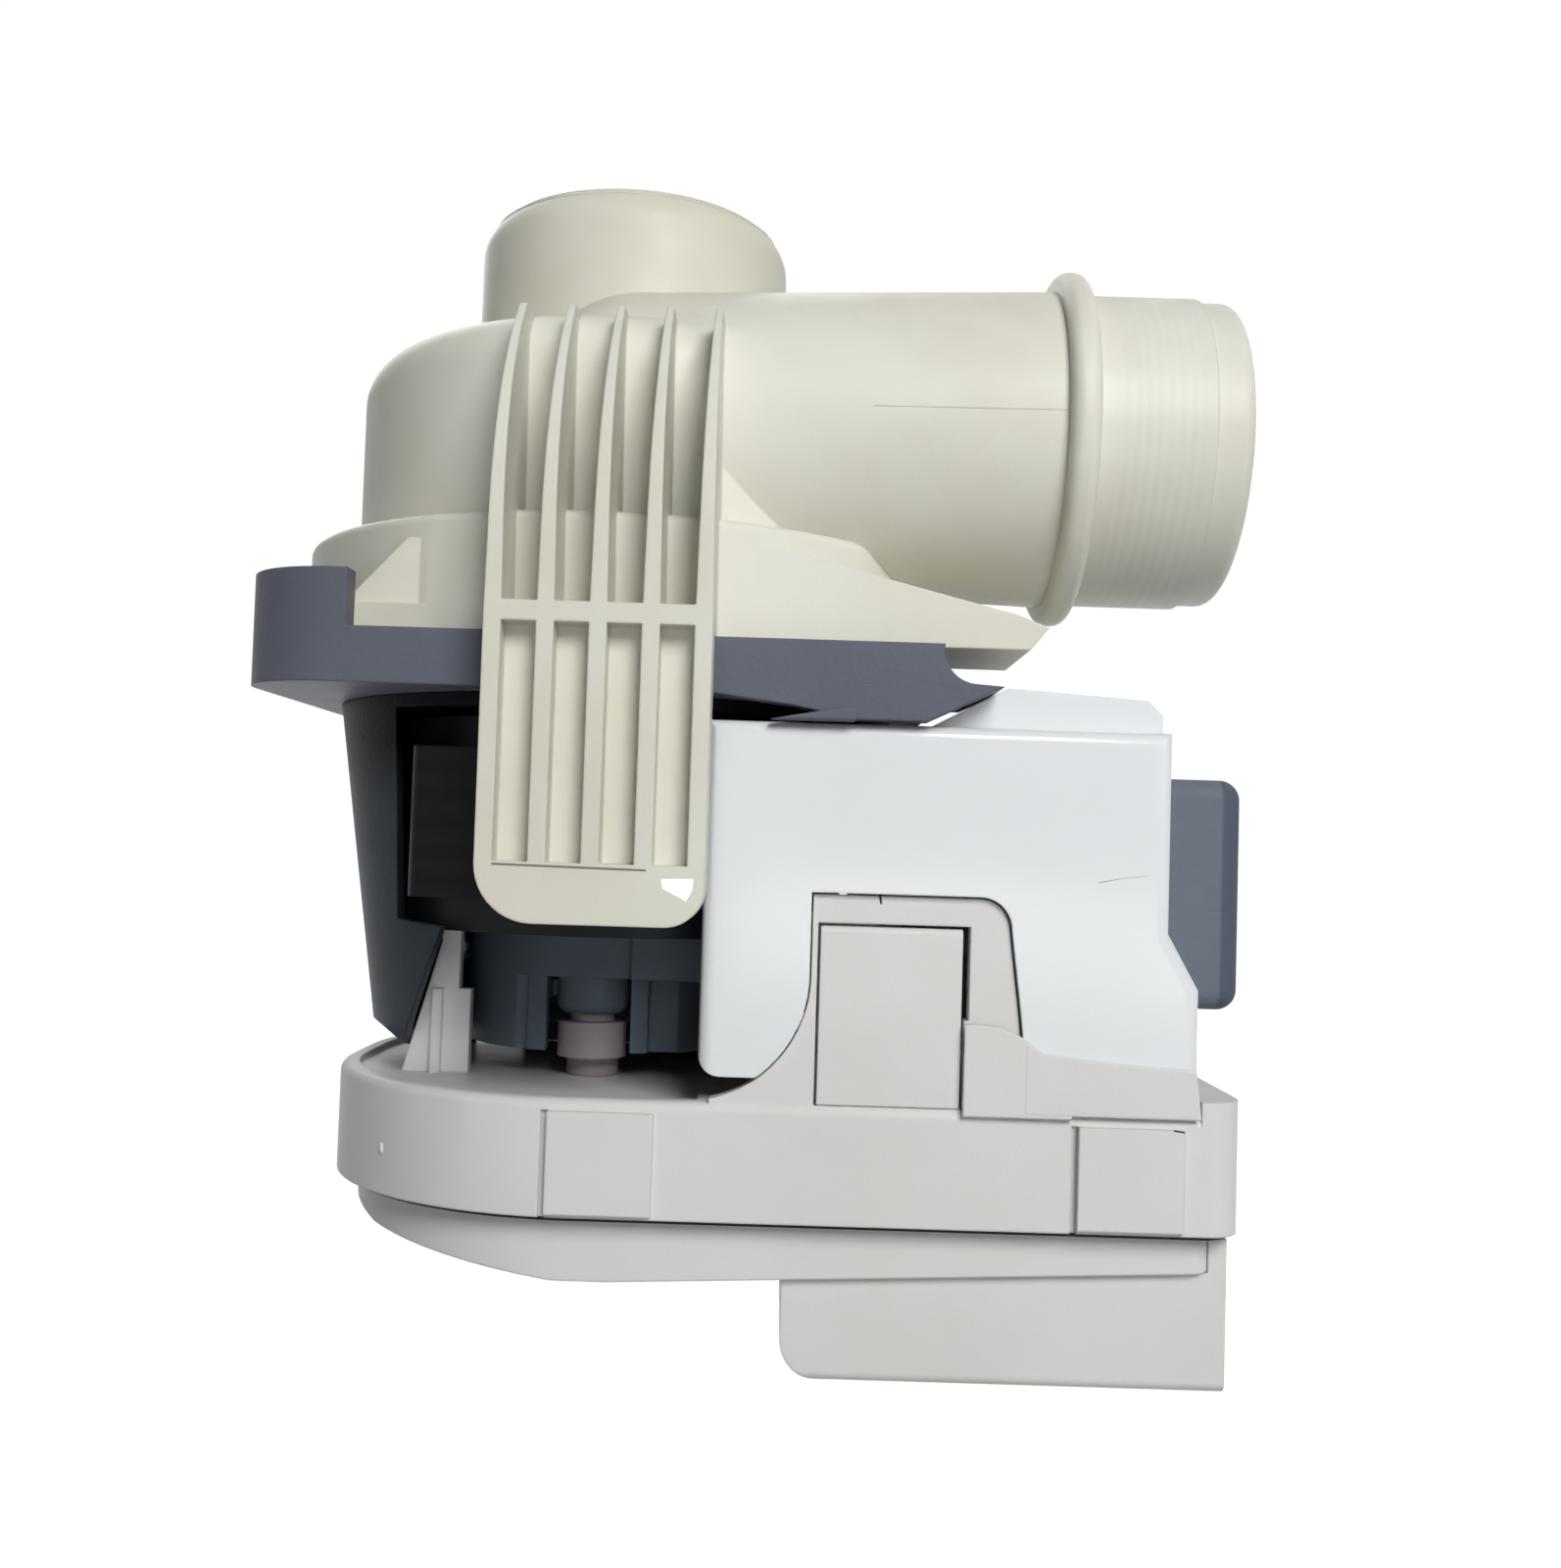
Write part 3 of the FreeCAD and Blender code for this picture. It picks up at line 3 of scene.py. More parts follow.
import bmesh
import bpy
from mathutils import Matrix, Vector


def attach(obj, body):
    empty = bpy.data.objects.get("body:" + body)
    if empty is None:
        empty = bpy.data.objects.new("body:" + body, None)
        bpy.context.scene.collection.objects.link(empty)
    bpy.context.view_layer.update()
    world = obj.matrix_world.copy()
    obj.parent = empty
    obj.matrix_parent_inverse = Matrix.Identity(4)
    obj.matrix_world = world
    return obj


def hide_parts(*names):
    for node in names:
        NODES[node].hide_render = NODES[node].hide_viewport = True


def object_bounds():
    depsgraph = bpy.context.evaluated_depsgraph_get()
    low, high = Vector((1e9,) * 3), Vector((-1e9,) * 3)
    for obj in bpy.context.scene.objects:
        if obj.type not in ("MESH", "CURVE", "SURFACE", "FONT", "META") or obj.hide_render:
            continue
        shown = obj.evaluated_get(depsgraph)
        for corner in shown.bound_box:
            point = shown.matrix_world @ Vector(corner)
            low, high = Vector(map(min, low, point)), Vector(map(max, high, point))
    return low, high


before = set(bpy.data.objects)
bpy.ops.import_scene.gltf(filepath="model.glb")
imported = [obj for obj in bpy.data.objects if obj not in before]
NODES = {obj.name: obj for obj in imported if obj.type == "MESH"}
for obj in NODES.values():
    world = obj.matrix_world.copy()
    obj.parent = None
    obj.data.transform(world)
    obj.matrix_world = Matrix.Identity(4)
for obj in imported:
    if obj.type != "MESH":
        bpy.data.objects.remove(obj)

bl_info = {
    "name": "Dishwasher pump dresser",
    "version": (1, 0, 0),
    "blender": (4, 5, 0),
    "location": "3D View > Sidebar > Pump",
    "description": "Dresses the packed pump with finishes, fine mouldings and windings",
    "category": "Object",
}

CAD_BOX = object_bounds()

# Places and sizes in millimetres, the steps of a line and the slopes of the toe's facet
OUTLET = {
    "axis_y": -14.5,
    "height": -21.75,
    "start": -11.0,
    "start_radius": 16.8,
    "line_from": 30.0,
    "line_steps": 13,
    "line_radius": 0.032,
    "collar": 51.5,
    "end_radius": 18.7,
    "rings_from": 57.0,
    "rings_to": 66.8,
}
LIP = {"radius": 14.7, "height": 3.7, "round": 5.0, "step": 0.16}
BOX_TOP = -97.8
COVER_FACE = -37.0
TONGUE_FACE = -46.0
PANEL_FACE = -36.2
PAD_FACE = -37.2
# Painted shadow under the flange: the motor shell darkens from Z -66 mm up to -60 mm and stays dark above
SHELL_PAINTED_SHADOW = (-66.0, -60.0)
# Painted shade on the damper pad's chamfered side, from X 72.6 mm to 73.0 mm and beyond
PAD_PAINTED_SHADE = (72.6, 73.0)
TOE_SLOPES = (-0.21, -0.32)
LAMINATION_BAND = 3.1416
STACK = {
    "top": -60.6,
    "low": -77.3,
    "slot_low": 17.5,
    "slot_high": 24.3,
    "half_tooth": 3.8,
    "half_coil": 6.1,
    "cap": 1.2,
}
SOCKETS = ((-29.0, 15.0), (-11.0, 13.0))
SOCKET_FACE = 70.4
SOCKET_ZS = (-125.4, -116.8)

# Radians that the wave texture turns per metre at a scale of 1
WAVE_TURN = 20.0


def mm(length):
    """A length in millimetres, in metres."""
    return length / 1000.0


def tone(red, green, blue):
    """A colour read off a screen, 0 to 255 a channel, as linear light."""
    linear = []
    for channel in (red, green, blue):
        c = channel / 255.0
        linear.append(c / 12.92 if c <= 0.04045 else ((c + 0.055) / 1.055) ** 2.4)
    return (*linear, 1.0)


# Sizes and colours that a user would change


def colour(name, description, rgb):
    """A colour property with its default."""
    return bpy.props.FloatVectorProperty(
        name=name, description=description, subtype="COLOR", size=4, min=0.0, max=1.0, default=tone(*rgb)
    )


def length(name, description, size_mm):
    """A length property with its default in millimetres."""
    return bpy.props.FloatProperty(
        name=name, description=description, subtype="DISTANCE", unit="LENGTH", min=0.0, default=mm(size_mm)
    )


class PumpFinish(bpy.types.PropertyGroup):
    """Colours of the pump's materials."""

    cream: colour("Cream", "Moulded cream plastic of the volute", (217, 216, 206))
    cream_deep: colour("Deep cream", "Aged patches of the volute", (207, 204, 187))
    white: colour("White", "Glossy white plastic of the terminal cover", (224, 227, 229))
    pale_grey: colour("Pale grey", "Satin plastic of the control box", (217, 216, 214))
    warm_grey: colour("Warm grey", "Yellowed end of the control box", (212, 209, 206))
    flange_grey: colour("Flange grey", "Blue-grey plastic of the motor flange", (98, 102, 114))
    slate: colour("Slate", "Dark plastic of the motor shell", (58, 66, 74))
    damper_grey: colour("Damper grey", "Rubber of the damper pad", (104, 112, 124))
    black: colour("Black", "Varnished steel, insulators and seals", (38, 39, 42))
    copper: colour("Copper", "Enamelled winding wire", (164, 88, 44))
    steel: colour("Steel", "Ground stainless steel", (196, 197, 198))
    board_green: colour("Board green", "Solder mask of the circuit board", (24, 84, 52))
    foot_pink: colour("Foot pink", "Grey-pink rubber foot", (150, 140, 144))


class PumpSizes(bpy.types.PropertyGroup):
    """Sizes of the fine mouldings and windings."""

    ring_height: length("Ring height", "How far the fine rings of the outlet stand out", 0.02)
    ring_count: bpy.props.IntProperty(
        name="Ring count", description="Fine rings round the outlet spigot", min=1, max=20, default=8
    )
    wire_radius: length("Wire radius", "Radius of the winding wire", 0.38)
    wire_layers: bpy.props.IntProperty(
        name="Wire layers", description="Layers of wire in a winding", min=1, max=5, default=3
    )


class PumpStage(bpy.types.PropertyGroup):
    """Camera, floor and lamps."""

    lens: bpy.props.FloatProperty(
        name="Lens", description="Focal length on a 36 mm sensor, in millimetres", min=1.0, default=36.0
    )
    camera_right: length("Camera right", "Camera to the right of the pump axis", 21.0)
    camera_distance: length("Camera distance", "Camera in front of the pump axis", 203.2)
    camera_drop: length("Camera drop", "Camera below the origin", 71.1)
    camera_pitch: bpy.props.FloatProperty(
        name="Pitch", description="Camera tilt upwards", subtype="ANGLE", default=0.043
    )
    camera_roll: bpy.props.FloatProperty(
        name="Roll", description="Turn of the picture about its centre", subtype="ANGLE", default=0.031
    )
    key_power: bpy.props.FloatProperty(
        name="Key", description="Power of the main lamp, in watts", min=0.0, default=4.35
    )
    fill_power: bpy.props.FloatProperty(
        name="Fill", description="Power of the fill lamp, in watts", min=0.0, default=1.9
    )
    world_strength: bpy.props.FloatProperty(
        name="Sky", description="Strength of the even light", min=0.0, default=0.05
    )


# Shader node groups


def new_group(name, inputs, outputs):
    """A shader node group with its sockets, its input node and its output node."""
    group = bpy.data.node_groups.new(name, "ShaderNodeTree")
    for label, kind, default in inputs:
        socket = group.interface.new_socket(name=label, in_out="INPUT", socket_type=kind)
        socket.default_value = default
    for label, kind in outputs:
        group.interface.new_socket(name=label, in_out="OUTPUT", socket_type=kind)
    enter = group.nodes.new("NodeGroupInput")
    leave = group.nodes.new("NodeGroupOutput")
    return group, enter, leave


def add(tree, kind, links=(), **values):
    """A node in a tree, with its settings, its socket values and its inward links."""
    node = tree.nodes.new(kind)
    for name, setting in values.items():
        if name in node.inputs:
            node.inputs[name].default_value = setting
        else:
            setattr(node, name, setting)
    for socket, source in links:
        tree.links.new(source, node.inputs[socket])
    return node


def noise_in(tree, position, scale, detail=3.0, rough=0.55):
    """A noise texture over given coordinates, its scale a number or a socket."""
    links = [("Vector", position)]
    if isinstance(scale, bpy.types.NodeSocket):
        links.append(("Scale", scale))
        return add(tree, "ShaderNodeTexNoise", links, Detail=detail, Roughness=rough)
    return add(tree, "ShaderNodeTexNoise", links, Scale=scale, Detail=detail, Roughness=rough)


def maths(tree, operation, first, second=None, clamp=False):
    """A math node on two sockets or numbers."""
    node = tree.nodes.new("ShaderNodeMath")
    node.operation = operation
    node.use_clamp = clamp
    for k, value in enumerate((first, second)):
        if value is None:
            continue
        if isinstance(value, (int, float)):
            node.inputs[k].default_value = value
        else:
            tree.links.new(value, node.inputs[k])
    return node.outputs[0]


def ramp(tree, factor, low, high):
    """A value that goes from 0 at low to 1 at high."""
    node = add(tree, "ShaderNodeMapRange", [("Value", factor)])
    node.inputs["From Min"].default_value = low
    node.inputs["From Max"].default_value = high
    return node.outputs[0]


def mould_grain_group():
    """Height of moulded plastic: fine spark-eroded grain over slow waviness."""
    group, enter, leave = new_group(
        "Mould grain",
        [
            ("Grain", "NodeSocketFloat", 2600.0),
            ("Waves", "NodeSocketFloat", 60.0),
            ("Wave share", "NodeSocketFloat", 0.5),
        ],
        [("Height", "NodeSocketFloat"), ("Patches", "NodeSocketFloat")],
    )
    place = object_place(group)
    fine = noise_in(group, place, enter.outputs["Grain"], 2.0)
    slow = noise_in(group, place, enter.outputs["Waves"], 2.0)
    share = maths(group, "MULTIPLY", slow.outputs[0], enter.outputs["Wave share"])
    height = maths(group, "ADD", fine.outputs[0], share)
    patches = noise_in(group, place, maths(group, "MULTIPLY", enter.outputs["Waves"], 0.45), 4.0, 0.62)
    group.links.new(height, leave.inputs["Height"])
    group.links.new(ramp(group, patches.outputs[0], 0.38, 0.68), leave.inputs["Patches"])
    return group


def edge_wear_group():
    """Mask that is 1 on worn, rubbed edges and 0 on flat faces, and the rounded normal."""
    group, enter, leave = new_group(
        "Edge wear",
        [("Radius", "NodeSocketFloat", mm(0.35)), ("Breakup", "NodeSocketFloat", 900.0)],
        [("Mask", "NodeSocketFloat"), ("Normal", "NodeSocketVector")],
    )
    bevel = group.nodes.new("ShaderNodeBevel")
    bevel.samples = 4
    group.links.new(enter.outputs["Radius"], bevel.inputs["Radius"])
    geometry = add(group, "ShaderNodeNewGeometry")
    dot = group.nodes.new("ShaderNodeVectorMath")
    dot.operation = "DOT_PRODUCT"
    group.links.new(bevel.outputs[0], dot.inputs[0])
    group.links.new(geometry.outputs["Normal"], dot.inputs[1])
    edge = ramp(group, maths(group, "SUBTRACT", 1.0, dot.outputs["Value"]), 0.02, 0.16)
    place = object_place(group)
    broken = noise_in(group, place, enter.outputs["Breakup"], 3.0)
    mask = maths(group, "MULTIPLY", edge, ramp(group, broken.outputs[0], 0.35, 0.62), True)
    group.links.new(mask, leave.inputs["Mask"])
    group.links.new(bevel.outputs[0], leave.inputs["Normal"])
    return group


def dust_group():
    """Mask of the dust that settles on upward faces, and of the grime in patches."""
    group, enter, leave = new_group(
        "Dust",
        [("Scale", "NodeSocketFloat", 240.0), ("Amount", "NodeSocketFloat", 0.4)],
        [("Dust", "NodeSocketFloat"), ("Grime", "NodeSocketFloat")],
    )
    geometry = add(group, "ShaderNodeNewGeometry")
    split = add(group, "ShaderNodeSeparateXYZ", [("Vector", geometry.outputs["Normal"])])
    upward = ramp(group, split.outputs["Z"], 0.35, 0.95)
    place = object_place(group)
    specks = noise_in(group, place, enter.outputs["Scale"], 6.0, 0.7)
    settled = maths(group, "MULTIPLY", upward, ramp(group, specks.outputs[0], 0.40, 0.72))
    grime = noise_in(group, place, maths(group, "MULTIPLY", enter.outputs["Scale"], 0.23), 5.0, 0.6)
    group.links.new(maths(group, "MULTIPLY", settled, enter.outputs["Amount"], True), leave.inputs["Dust"])
    smear = maths(group, "MULTIPLY", ramp(group, grime.outputs[0], 0.50, 0.78), enter.outputs["Amount"], True)
    group.links.new(smear, leave.inputs["Grime"])
    return group


def scratch_group():
    """Mask of short handling scratches."""
    group, enter, leave = new_group(
        "Scratches",
        [("Scale", "NodeSocketFloat", 90.0)],
        [("Mask", "NodeSocketFloat")],
    )
    place = object_place(group)
    masks = []
    for turn in (0.35, 1.9):
        mapping = add(group, "ShaderNodeMapping", [("Vector", place)])
        mapping.inputs["Rotation"].default_value = (turn, turn * 0.7, turn * 1.3)
        mapping.inputs["Scale"].default_value = (1.0, 14.0, 14.0)
        streak = noise_in(group, mapping.outputs[0], enter.outputs["Scale"], 2.0)
        masks.append(ramp(group, streak.outputs[0], 0.70, 0.76))
    both = maths(group, "MAXIMUM", masks[0], masks[1])
    group.links.new(both, leave.inputs["Mask"])
    return group


GROUPS = {}


def shared(name):
    """A shared node group, built the first time it is asked for."""
    makers = {
        "grain": mould_grain_group,
        "wear": edge_wear_group,
        "dust": dust_group,
        "scratches": scratch_group,
    }
    if name not in GROUPS:
        GROUPS[name] = makers[name]()
    return GROUPS[name]


def use(tree, name, **values):
    """A shared group placed in a material with its own values."""
    node = tree.nodes.new("ShaderNodeGroup")
    node.node_tree = shared(name)
    for label, value in values.items():
        node.inputs[label].default_value = value
    return node


def mix(tree, factor, first, second):
    """A colour mix of two colours or sockets."""
    node = tree.nodes.new("ShaderNodeMix")
    node.data_type = "RGBA"
    sockets = (node.inputs[0], node.inputs[6], node.inputs[7])
    for socket, value in zip(sockets, (factor, first, second)):
        if isinstance(value, bpy.types.NodeSocket):
            tree.links.new(value, socket)
        else:
            socket.default_value = value
    return node.outputs[2]


def shifted(rgba, factor):
    """A colour made lighter or darker."""
    return (*[min(1.0, c * factor) for c in rgba[:3]], 1.0)


def object_place(tree):
    """The shaded point in the object's own coordinates."""
    return add(tree, "ShaderNodeTexCoord").outputs["Object"]


def along_axis(tree, axis):
    """The shaded point's coordinate along one axis of the object."""
    return add(tree, "ShaderNodeSeparateXYZ", [("Vector", object_place(tree))]).outputs[axis]


def bump_in(tree, links, strength, distance):
    """The normal that a height gives, as the output of a bump node."""
    bump = add(tree, "ShaderNodeBump", links)
    bump.inputs["Strength"].default_value = strength
    bump.inputs["Distance"].default_value = distance
    return bump.outputs[0]


def start_material(name):
    """An empty material with its Principled shader wired to the output."""
    material = bpy.data.materials.new(name)
    material.use_nodes = True
    tree = material.node_tree
    tree.nodes.clear()
    shader = tree.nodes.new("ShaderNodeBsdfPrincipled")
    output = tree.nodes.new("ShaderNodeOutputMaterial")
    tree.links.new(shader.outputs[0], output.inputs[0])
    return material, tree, shader


def moulded_plastic(name, base, patch, rough, grain=2600.0, relief=0.05, dust=0.3, coat=0.0, mirror=0.12):
    """Injection-moulded plastic: grain, waviness, faint patches, rubbed edges and dust."""
    material, tree, shader = start_material(name)
    mould = use(tree, "grain", Grain=grain, Waves=55.0)
    wear = use(tree, "wear", Radius=mm(0.35))
    dirt = use(tree, "dust", Amount=dust)
    marks = use(tree, "scratches")
    body = mix(tree, mould.outputs["Patches"], base, patch)
    body = mix(tree, maths(tree, "MULTIPLY", wear.outputs["Mask"], 0.35), body, shifted(base, 1.12))
    body = mix(tree, dirt.outputs["Grime"], body, shifted(patch, 0.82))
    body = mix(tree, dirt.outputs["Dust"], body, tone(168, 163, 152))
    tree.links.new(body, shader.inputs["Base Color"])
    gloss = maths(tree, "ADD", maths(tree, "MULTIPLY", mould.outputs["Patches"], 0.07), rough)
    gloss = maths(tree, "ADD", gloss, maths(tree, "MULTIPLY", marks.outputs["Mask"], 0.12))
    gloss = maths(tree, "ADD", gloss, maths(tree, "MULTIPLY", dirt.outputs["Dust"], 0.4), True)
    tree.links.new(gloss, shader.inputs["Roughness"])
    cuts = maths(tree, "MULTIPLY", marks.outputs["Mask"], 0.6)
    height = maths(tree, "SUBTRACT", mould.outputs["Height"], cuts)
    normal = bump_in(tree, [("Height", height), ("Normal", wear.outputs["Normal"])], relief, mm(0.4))
    tree.links.new(normal, shader.inputs["Normal"])
    shader.inputs["Specular IOR Level"].default_value = mirror
    shader.inputs["Coat Weight"].default_value = coat
    shader.inputs["Coat Roughness"].default_value = 0.12
    return material


def shader_of(material):
    """A material's node tree and its Principled shader."""
    tree = material.node_tree
    return tree, next(node for node in tree.nodes if node.type == "BSDF_PRINCIPLED")


def paint_shade_strip(material, low, high, factor, axis):
    """Paint shade into a moulded plastic past a place along an axis, as the photograph shows it: a darker
    colour standing in for shade.
    """
    tree, shader = shader_of(material)
    body = shader.inputs["Base Color"].links[0].from_socket
    mask = ramp(tree, along_axis(tree, axis), mm(low), mm(high))
    dark = add(tree, "ShaderNodeMix", data_type="RGBA", blend_type="MULTIPLY")
    dark.inputs[7].default_value = (factor, factor, factor * 1.08, 1.0)
    tree.links.new(mask, dark.inputs[0])
    tree.links.new(body, dark.inputs[6])
    tree.links.new(dark.outputs[2], shader.inputs["Base Color"])


def tilt_relief(material, along_x, along_z):
    """Lean the shading of a flat moulded facet, by slopes along X and Z."""
    tree, shader = shader_of(material)
    across = maths(tree, "MULTIPLY", along_axis(tree, "X"), along_x)
    upward = maths(tree, "MULTIPLY", along_axis(tree, "Z"), along_z)
    height = maths(tree, "ADD", across, upward)
    tree.links.new(bump_in(tree, [("Height", height)], 1.0, 1.0), shader.inputs["Normal"])


def add_rings(material, height, count):
    """Low rings in the relief of a moulded plastic, near the outlet's end."""
    tree, shader = shader_of(material)
    relief = shader.inputs["Normal"].links[0].from_socket
    along = ramp(tree, along_axis(tree, "X"), mm(OUTLET["rings_from"]), mm(OUTLET["rings_to"]))
    wave = maths(tree, "COSINE", maths(tree, "MULTIPLY", along, math.tau * count))
    normal = bump_in(tree, [("Height", wave), ("Normal", relief)], 1.0, height / 2)
    tree.links.new(normal, shader.inputs["Normal"])


def brushed_metal(name, base, rough):
    """Drawn or ground metal with fine lines across Z."""
    material, tree, shader = start_material(name)
    place = object_place(tree)
    mapping = add(tree, "ShaderNodeMapping", [("Vector", place)])
    mapping.inputs["Scale"].default_value = (1.0, 1.0, 18.0)
    lines = add(tree, "ShaderNodeTexNoise", [("Vector", mapping.outputs[0])], Scale=900.0, Detail=3.0)
    wear = use(tree, "wear", Radius=mm(0.15))
    tint = mix(tree, lines.outputs[0], shifted(base, 0.82), shifted(base, 1.08))
    tree.links.new(tint, shader.inputs["Base Color"])
    shader.inputs["Metallic"].default_value = 1.0
    gloss = maths(tree, "ADD", maths(tree, "MULTIPLY", lines.outputs[0], 0.2), rough)
    tree.links.new(gloss, shader.inputs["Roughness"])
    normal = bump_in(tree, [("Height", lines.outputs[0]), ("Normal", wear.outputs["Normal"])], 0.06, mm(0.1))
    tree.links.new(normal, shader.inputs["Normal"])
    return material


def laminated_steel(name, base, band):
    """Varnished laminations: soft bands stacked along Z under an uneven varnish."""
    material, tree, shader = start_material(name)
    place = object_place(tree)
    wave = add(tree, "ShaderNodeTexWave", [("Vector", place)], wave_type="BANDS", bands_direction="Z")
    wave.inputs["Scale"].default_value = math.tau / WAVE_TURN / band
    wave.inputs["Distortion"].default_value = 0.3
    varnish = noise_in(tree, place, 160.0, 4.0)
    tint = mix(tree, wave.outputs["Fac"], shifted(base, 0.45), shifted(base, 0.75))
    tint = mix(tree, ramp(tree, varnish.outputs[0], 0.5, 0.75), tint, shifted(base, 0.35))
    tree.links.new(tint, shader.inputs["Base Color"])
    shader.inputs["Metallic"].default_value = 0.1
    shader.inputs["Specular IOR Level"].default_value = 0.1
    gloss = maths(tree, "ADD", maths(tree, "MULTIPLY", varnish.outputs[0], 0.3), 0.3)
    tree.links.new(gloss, shader.inputs["Roughness"])
    tree.links.new(bump_in(tree, [("Height", wave.outputs["Fac"])], 0.2, mm(0.1)), shader.inputs["Normal"])
    return material


def make_materials(finish):
    """Every finish of the pump, by name."""
    plastics = {
        "cream": (
            "cream_plastic", finish.cream, finish.cream_deep, 0.38,
            {"dust": 0.16, "coat": 0.02, "mirror": 0.2},
        ),
        "white": (
            "white_plastic", finish.white, shifted(finish.white, 0.97), 0.2,
            {"relief": 0.03, "dust": 0.1, "coat": 0.35},
        ),
        "pale": ("pale_grey_plastic", finish.pale_grey, finish.warm_grey, 0.36, {"dust": 0.2, "coat": 0.03}),
        "flange": (
            "flange_plastic", finish.flange_grey, shifted(finish.flange_grey, 0.86), 0.42,
            {"grain": 1500.0, "relief": 0.16},
        ),
        # Painted shadow: the cream darkened to about a third, for the line of shadow under the crossbar above
        # the toe
        "step_shadow": ("step_shadow_paint", shifted(finish.cream, 0.36), shifted(finish.cream_deep, 0.36), 0.5, {}),
        # Painted highlight: a white lighter than the cover's, with a strong coat, for the glint on the toe's
        # facet
        "glint": (
            "toe_glint_paint", shifted(finish.white, 1.2), shifted(finish.white, 1.2), 0.3,
            {"dust": 0.0, "coat": 0.5},
        ),
        "slate": (
            "slate_plastic", finish.slate, shifted(finish.slate, 0.8), 0.4,
            {"grain": 1700.0, "relief": 0.12, "mirror": 0.04},
        ),
        # Painted light: the end shield wears the shell's slate made 2 to 2.4 times lighter, a lit copy of
        # that colour
        "shield": (
            "shield_painted_light", shifted(finish.slate, 2.4), shifted(finish.slate, 2.0), 0.42,
            {"grain": 1700.0, "relief": 0.12},
        ),
        "black": ("black_plastic", finish.black, shifted(finish.black, 0.7), 0.45, {"dust": 0.15}),
        "rubber": (
            "damper_rubber", finish.damper_grey, shifted(finish.damper_grey, 0.84), 0.55,
            {"grain": 700.0, "relief": 0.3},
        ),
        "foot": (
            "foot_rubber", finish.foot_pink, shifted(finish.foot_pink, 0.85), 0.6,
            {"grain": 1200.0, "relief": 0.2},
        ),
        "board": (
            "solder_mask", finish.board_green, shifted(finish.board_green, 0.8), 0.25,
            {"relief": 0.1, "coat": 0.4},
        ),
    }
    materials = {}
    for key, (name, base, patch, rough, extras) in plastics.items():
        materials[key] = moulded_plastic(name, base, patch, rough, **extras)
    tilt_relief(materials["glint"], *TOE_SLOPES)
    # Painted shadow under the flange: the shell's slate is darkened to a tenth above Z -60 mm, fading out by
    # Z -66 mm
    paint_shade_strip(materials["slate"], *SHELL_PAINTED_SHADOW, 0.1, "Z")
    # Painted shade: the damper pad's side past X 73 mm is darkened and turned bluish
    paint_shade_strip(materials["rubber"], *PAD_PAINTED_SHADE, 0.62, "X")
    steel_black = shifted(finish.black, 0.5)
    materials["laminations"] = laminated_steel("laminations", steel_black, mm(LAMINATION_BAND))
    materials["copper"] = brushed_metal("enamelled_wire", finish.copper, 0.28)
    materials["steel"] = brushed_metal("ground_steel", finish.steel, 0.22)
    return materials


WEARERS = {
    "cream": ("volute_housing", "impeller"),
    "white": ("terminal_cover", "support_legs"),
    "pale": ("control_box_lid", "release_latch", "control_box_base", "connector_housing"),
    "flange": ("motor_flange", "pad_holder"),
    "slate": ("motor_shell",),
    "shield": ("end_shield",),
    "black": (
        "volute_seal", "separating_can", "front_bearing_carrier", "front_bearing", "rear_bearing_carrier",
        "rear_bearing", "rotor_magnet", "upper_insulator", "lower_insulator", "box_seal",
        "smoothing_capacitors", "mains_choke", "film_capacitor", "power_module", "controller_chip",
        "bridge_rectifier", "mains_fuse",
    ),
    "rubber": ("damper_pad",),
    "foot": ("rubber_foot",),
    "laminations": ("stator_stack", "rotor_core"),
    "copper": ("stator_coils",),
    "steel": ("shaft", "thrust_washer", "stator_screws", "phase_terminals", "power_pins", "signal_pins",
              "heat_spreader"),
    "board": ("circuit_board",),
}

FINISHES = {}


def dress(node, material):
    """Give a carried-over node its material and smooth shading across its facets."""
    thing = NODES[node]
    thing.data.materials.clear()
    thing.data.materials.append(material)
    for face in thing.data.polygons:
        face.use_smooth = True
    weld = thing.modifiers.new("Weld", "WELD")
    weld.merge_threshold = mm(0.005)
    split = thing.modifiers.new("Creases", "EDGE_SPLIT")
    split.split_angle = math.radians(28)


class PUMP_OT_finishes(bpy.types.Operator):
    """Make the materials and dress every carried-over node"""

    bl_idname = "pump.finishes"
    bl_label = "Finishes"

    def execute(self, context):
        FINISHES.update(make_materials(context.scene.pump_finish))
        for finish, wearers in WEARERS.items():
            for node in wearers:
                dress(node, FINISHES[finish])
        return {"FINISHED"}


def new_piece(name, build, finish, smooth=True):
    """A piece of the fixed pump body from a finished bmesh, with its finish and material slot."""
    mesh = bpy.data.meshes.new(name)
    bmesh.ops.recalc_face_normals(build, faces=build.faces)
    build.to_mesh(mesh)
    build.free()
    for face in mesh.polygons:
        face.use_smooth = smooth
    piece = bpy.data.objects.new(name, mesh)
    bpy.context.scene.collection.objects.link(piece)
    mesh.materials.append(FINISHES[finish])
    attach(piece, "pump")
    return piece


def sweep(build, rows, closed_rows=True):
    """Faces between neighbouring closed rows of points, which are capped unless they close on themselves."""
    verts = [[build.verts.new([mm(c) for c in point]) for point in row] for row in rows]
    count, width = len(verts), len(verts[0])
    for k in range(count if closed_rows else count - 1):
        for j in range(width):
            here, there = verts[k], verts[(k + 1) % count]
            after = (j + 1) % width
            build.faces.new((here[j], here[after], there[after], there[j]))
    if not closed_rows:
        build.faces.new(verts[0])
        build.faces.new(reversed(verts[-1]))


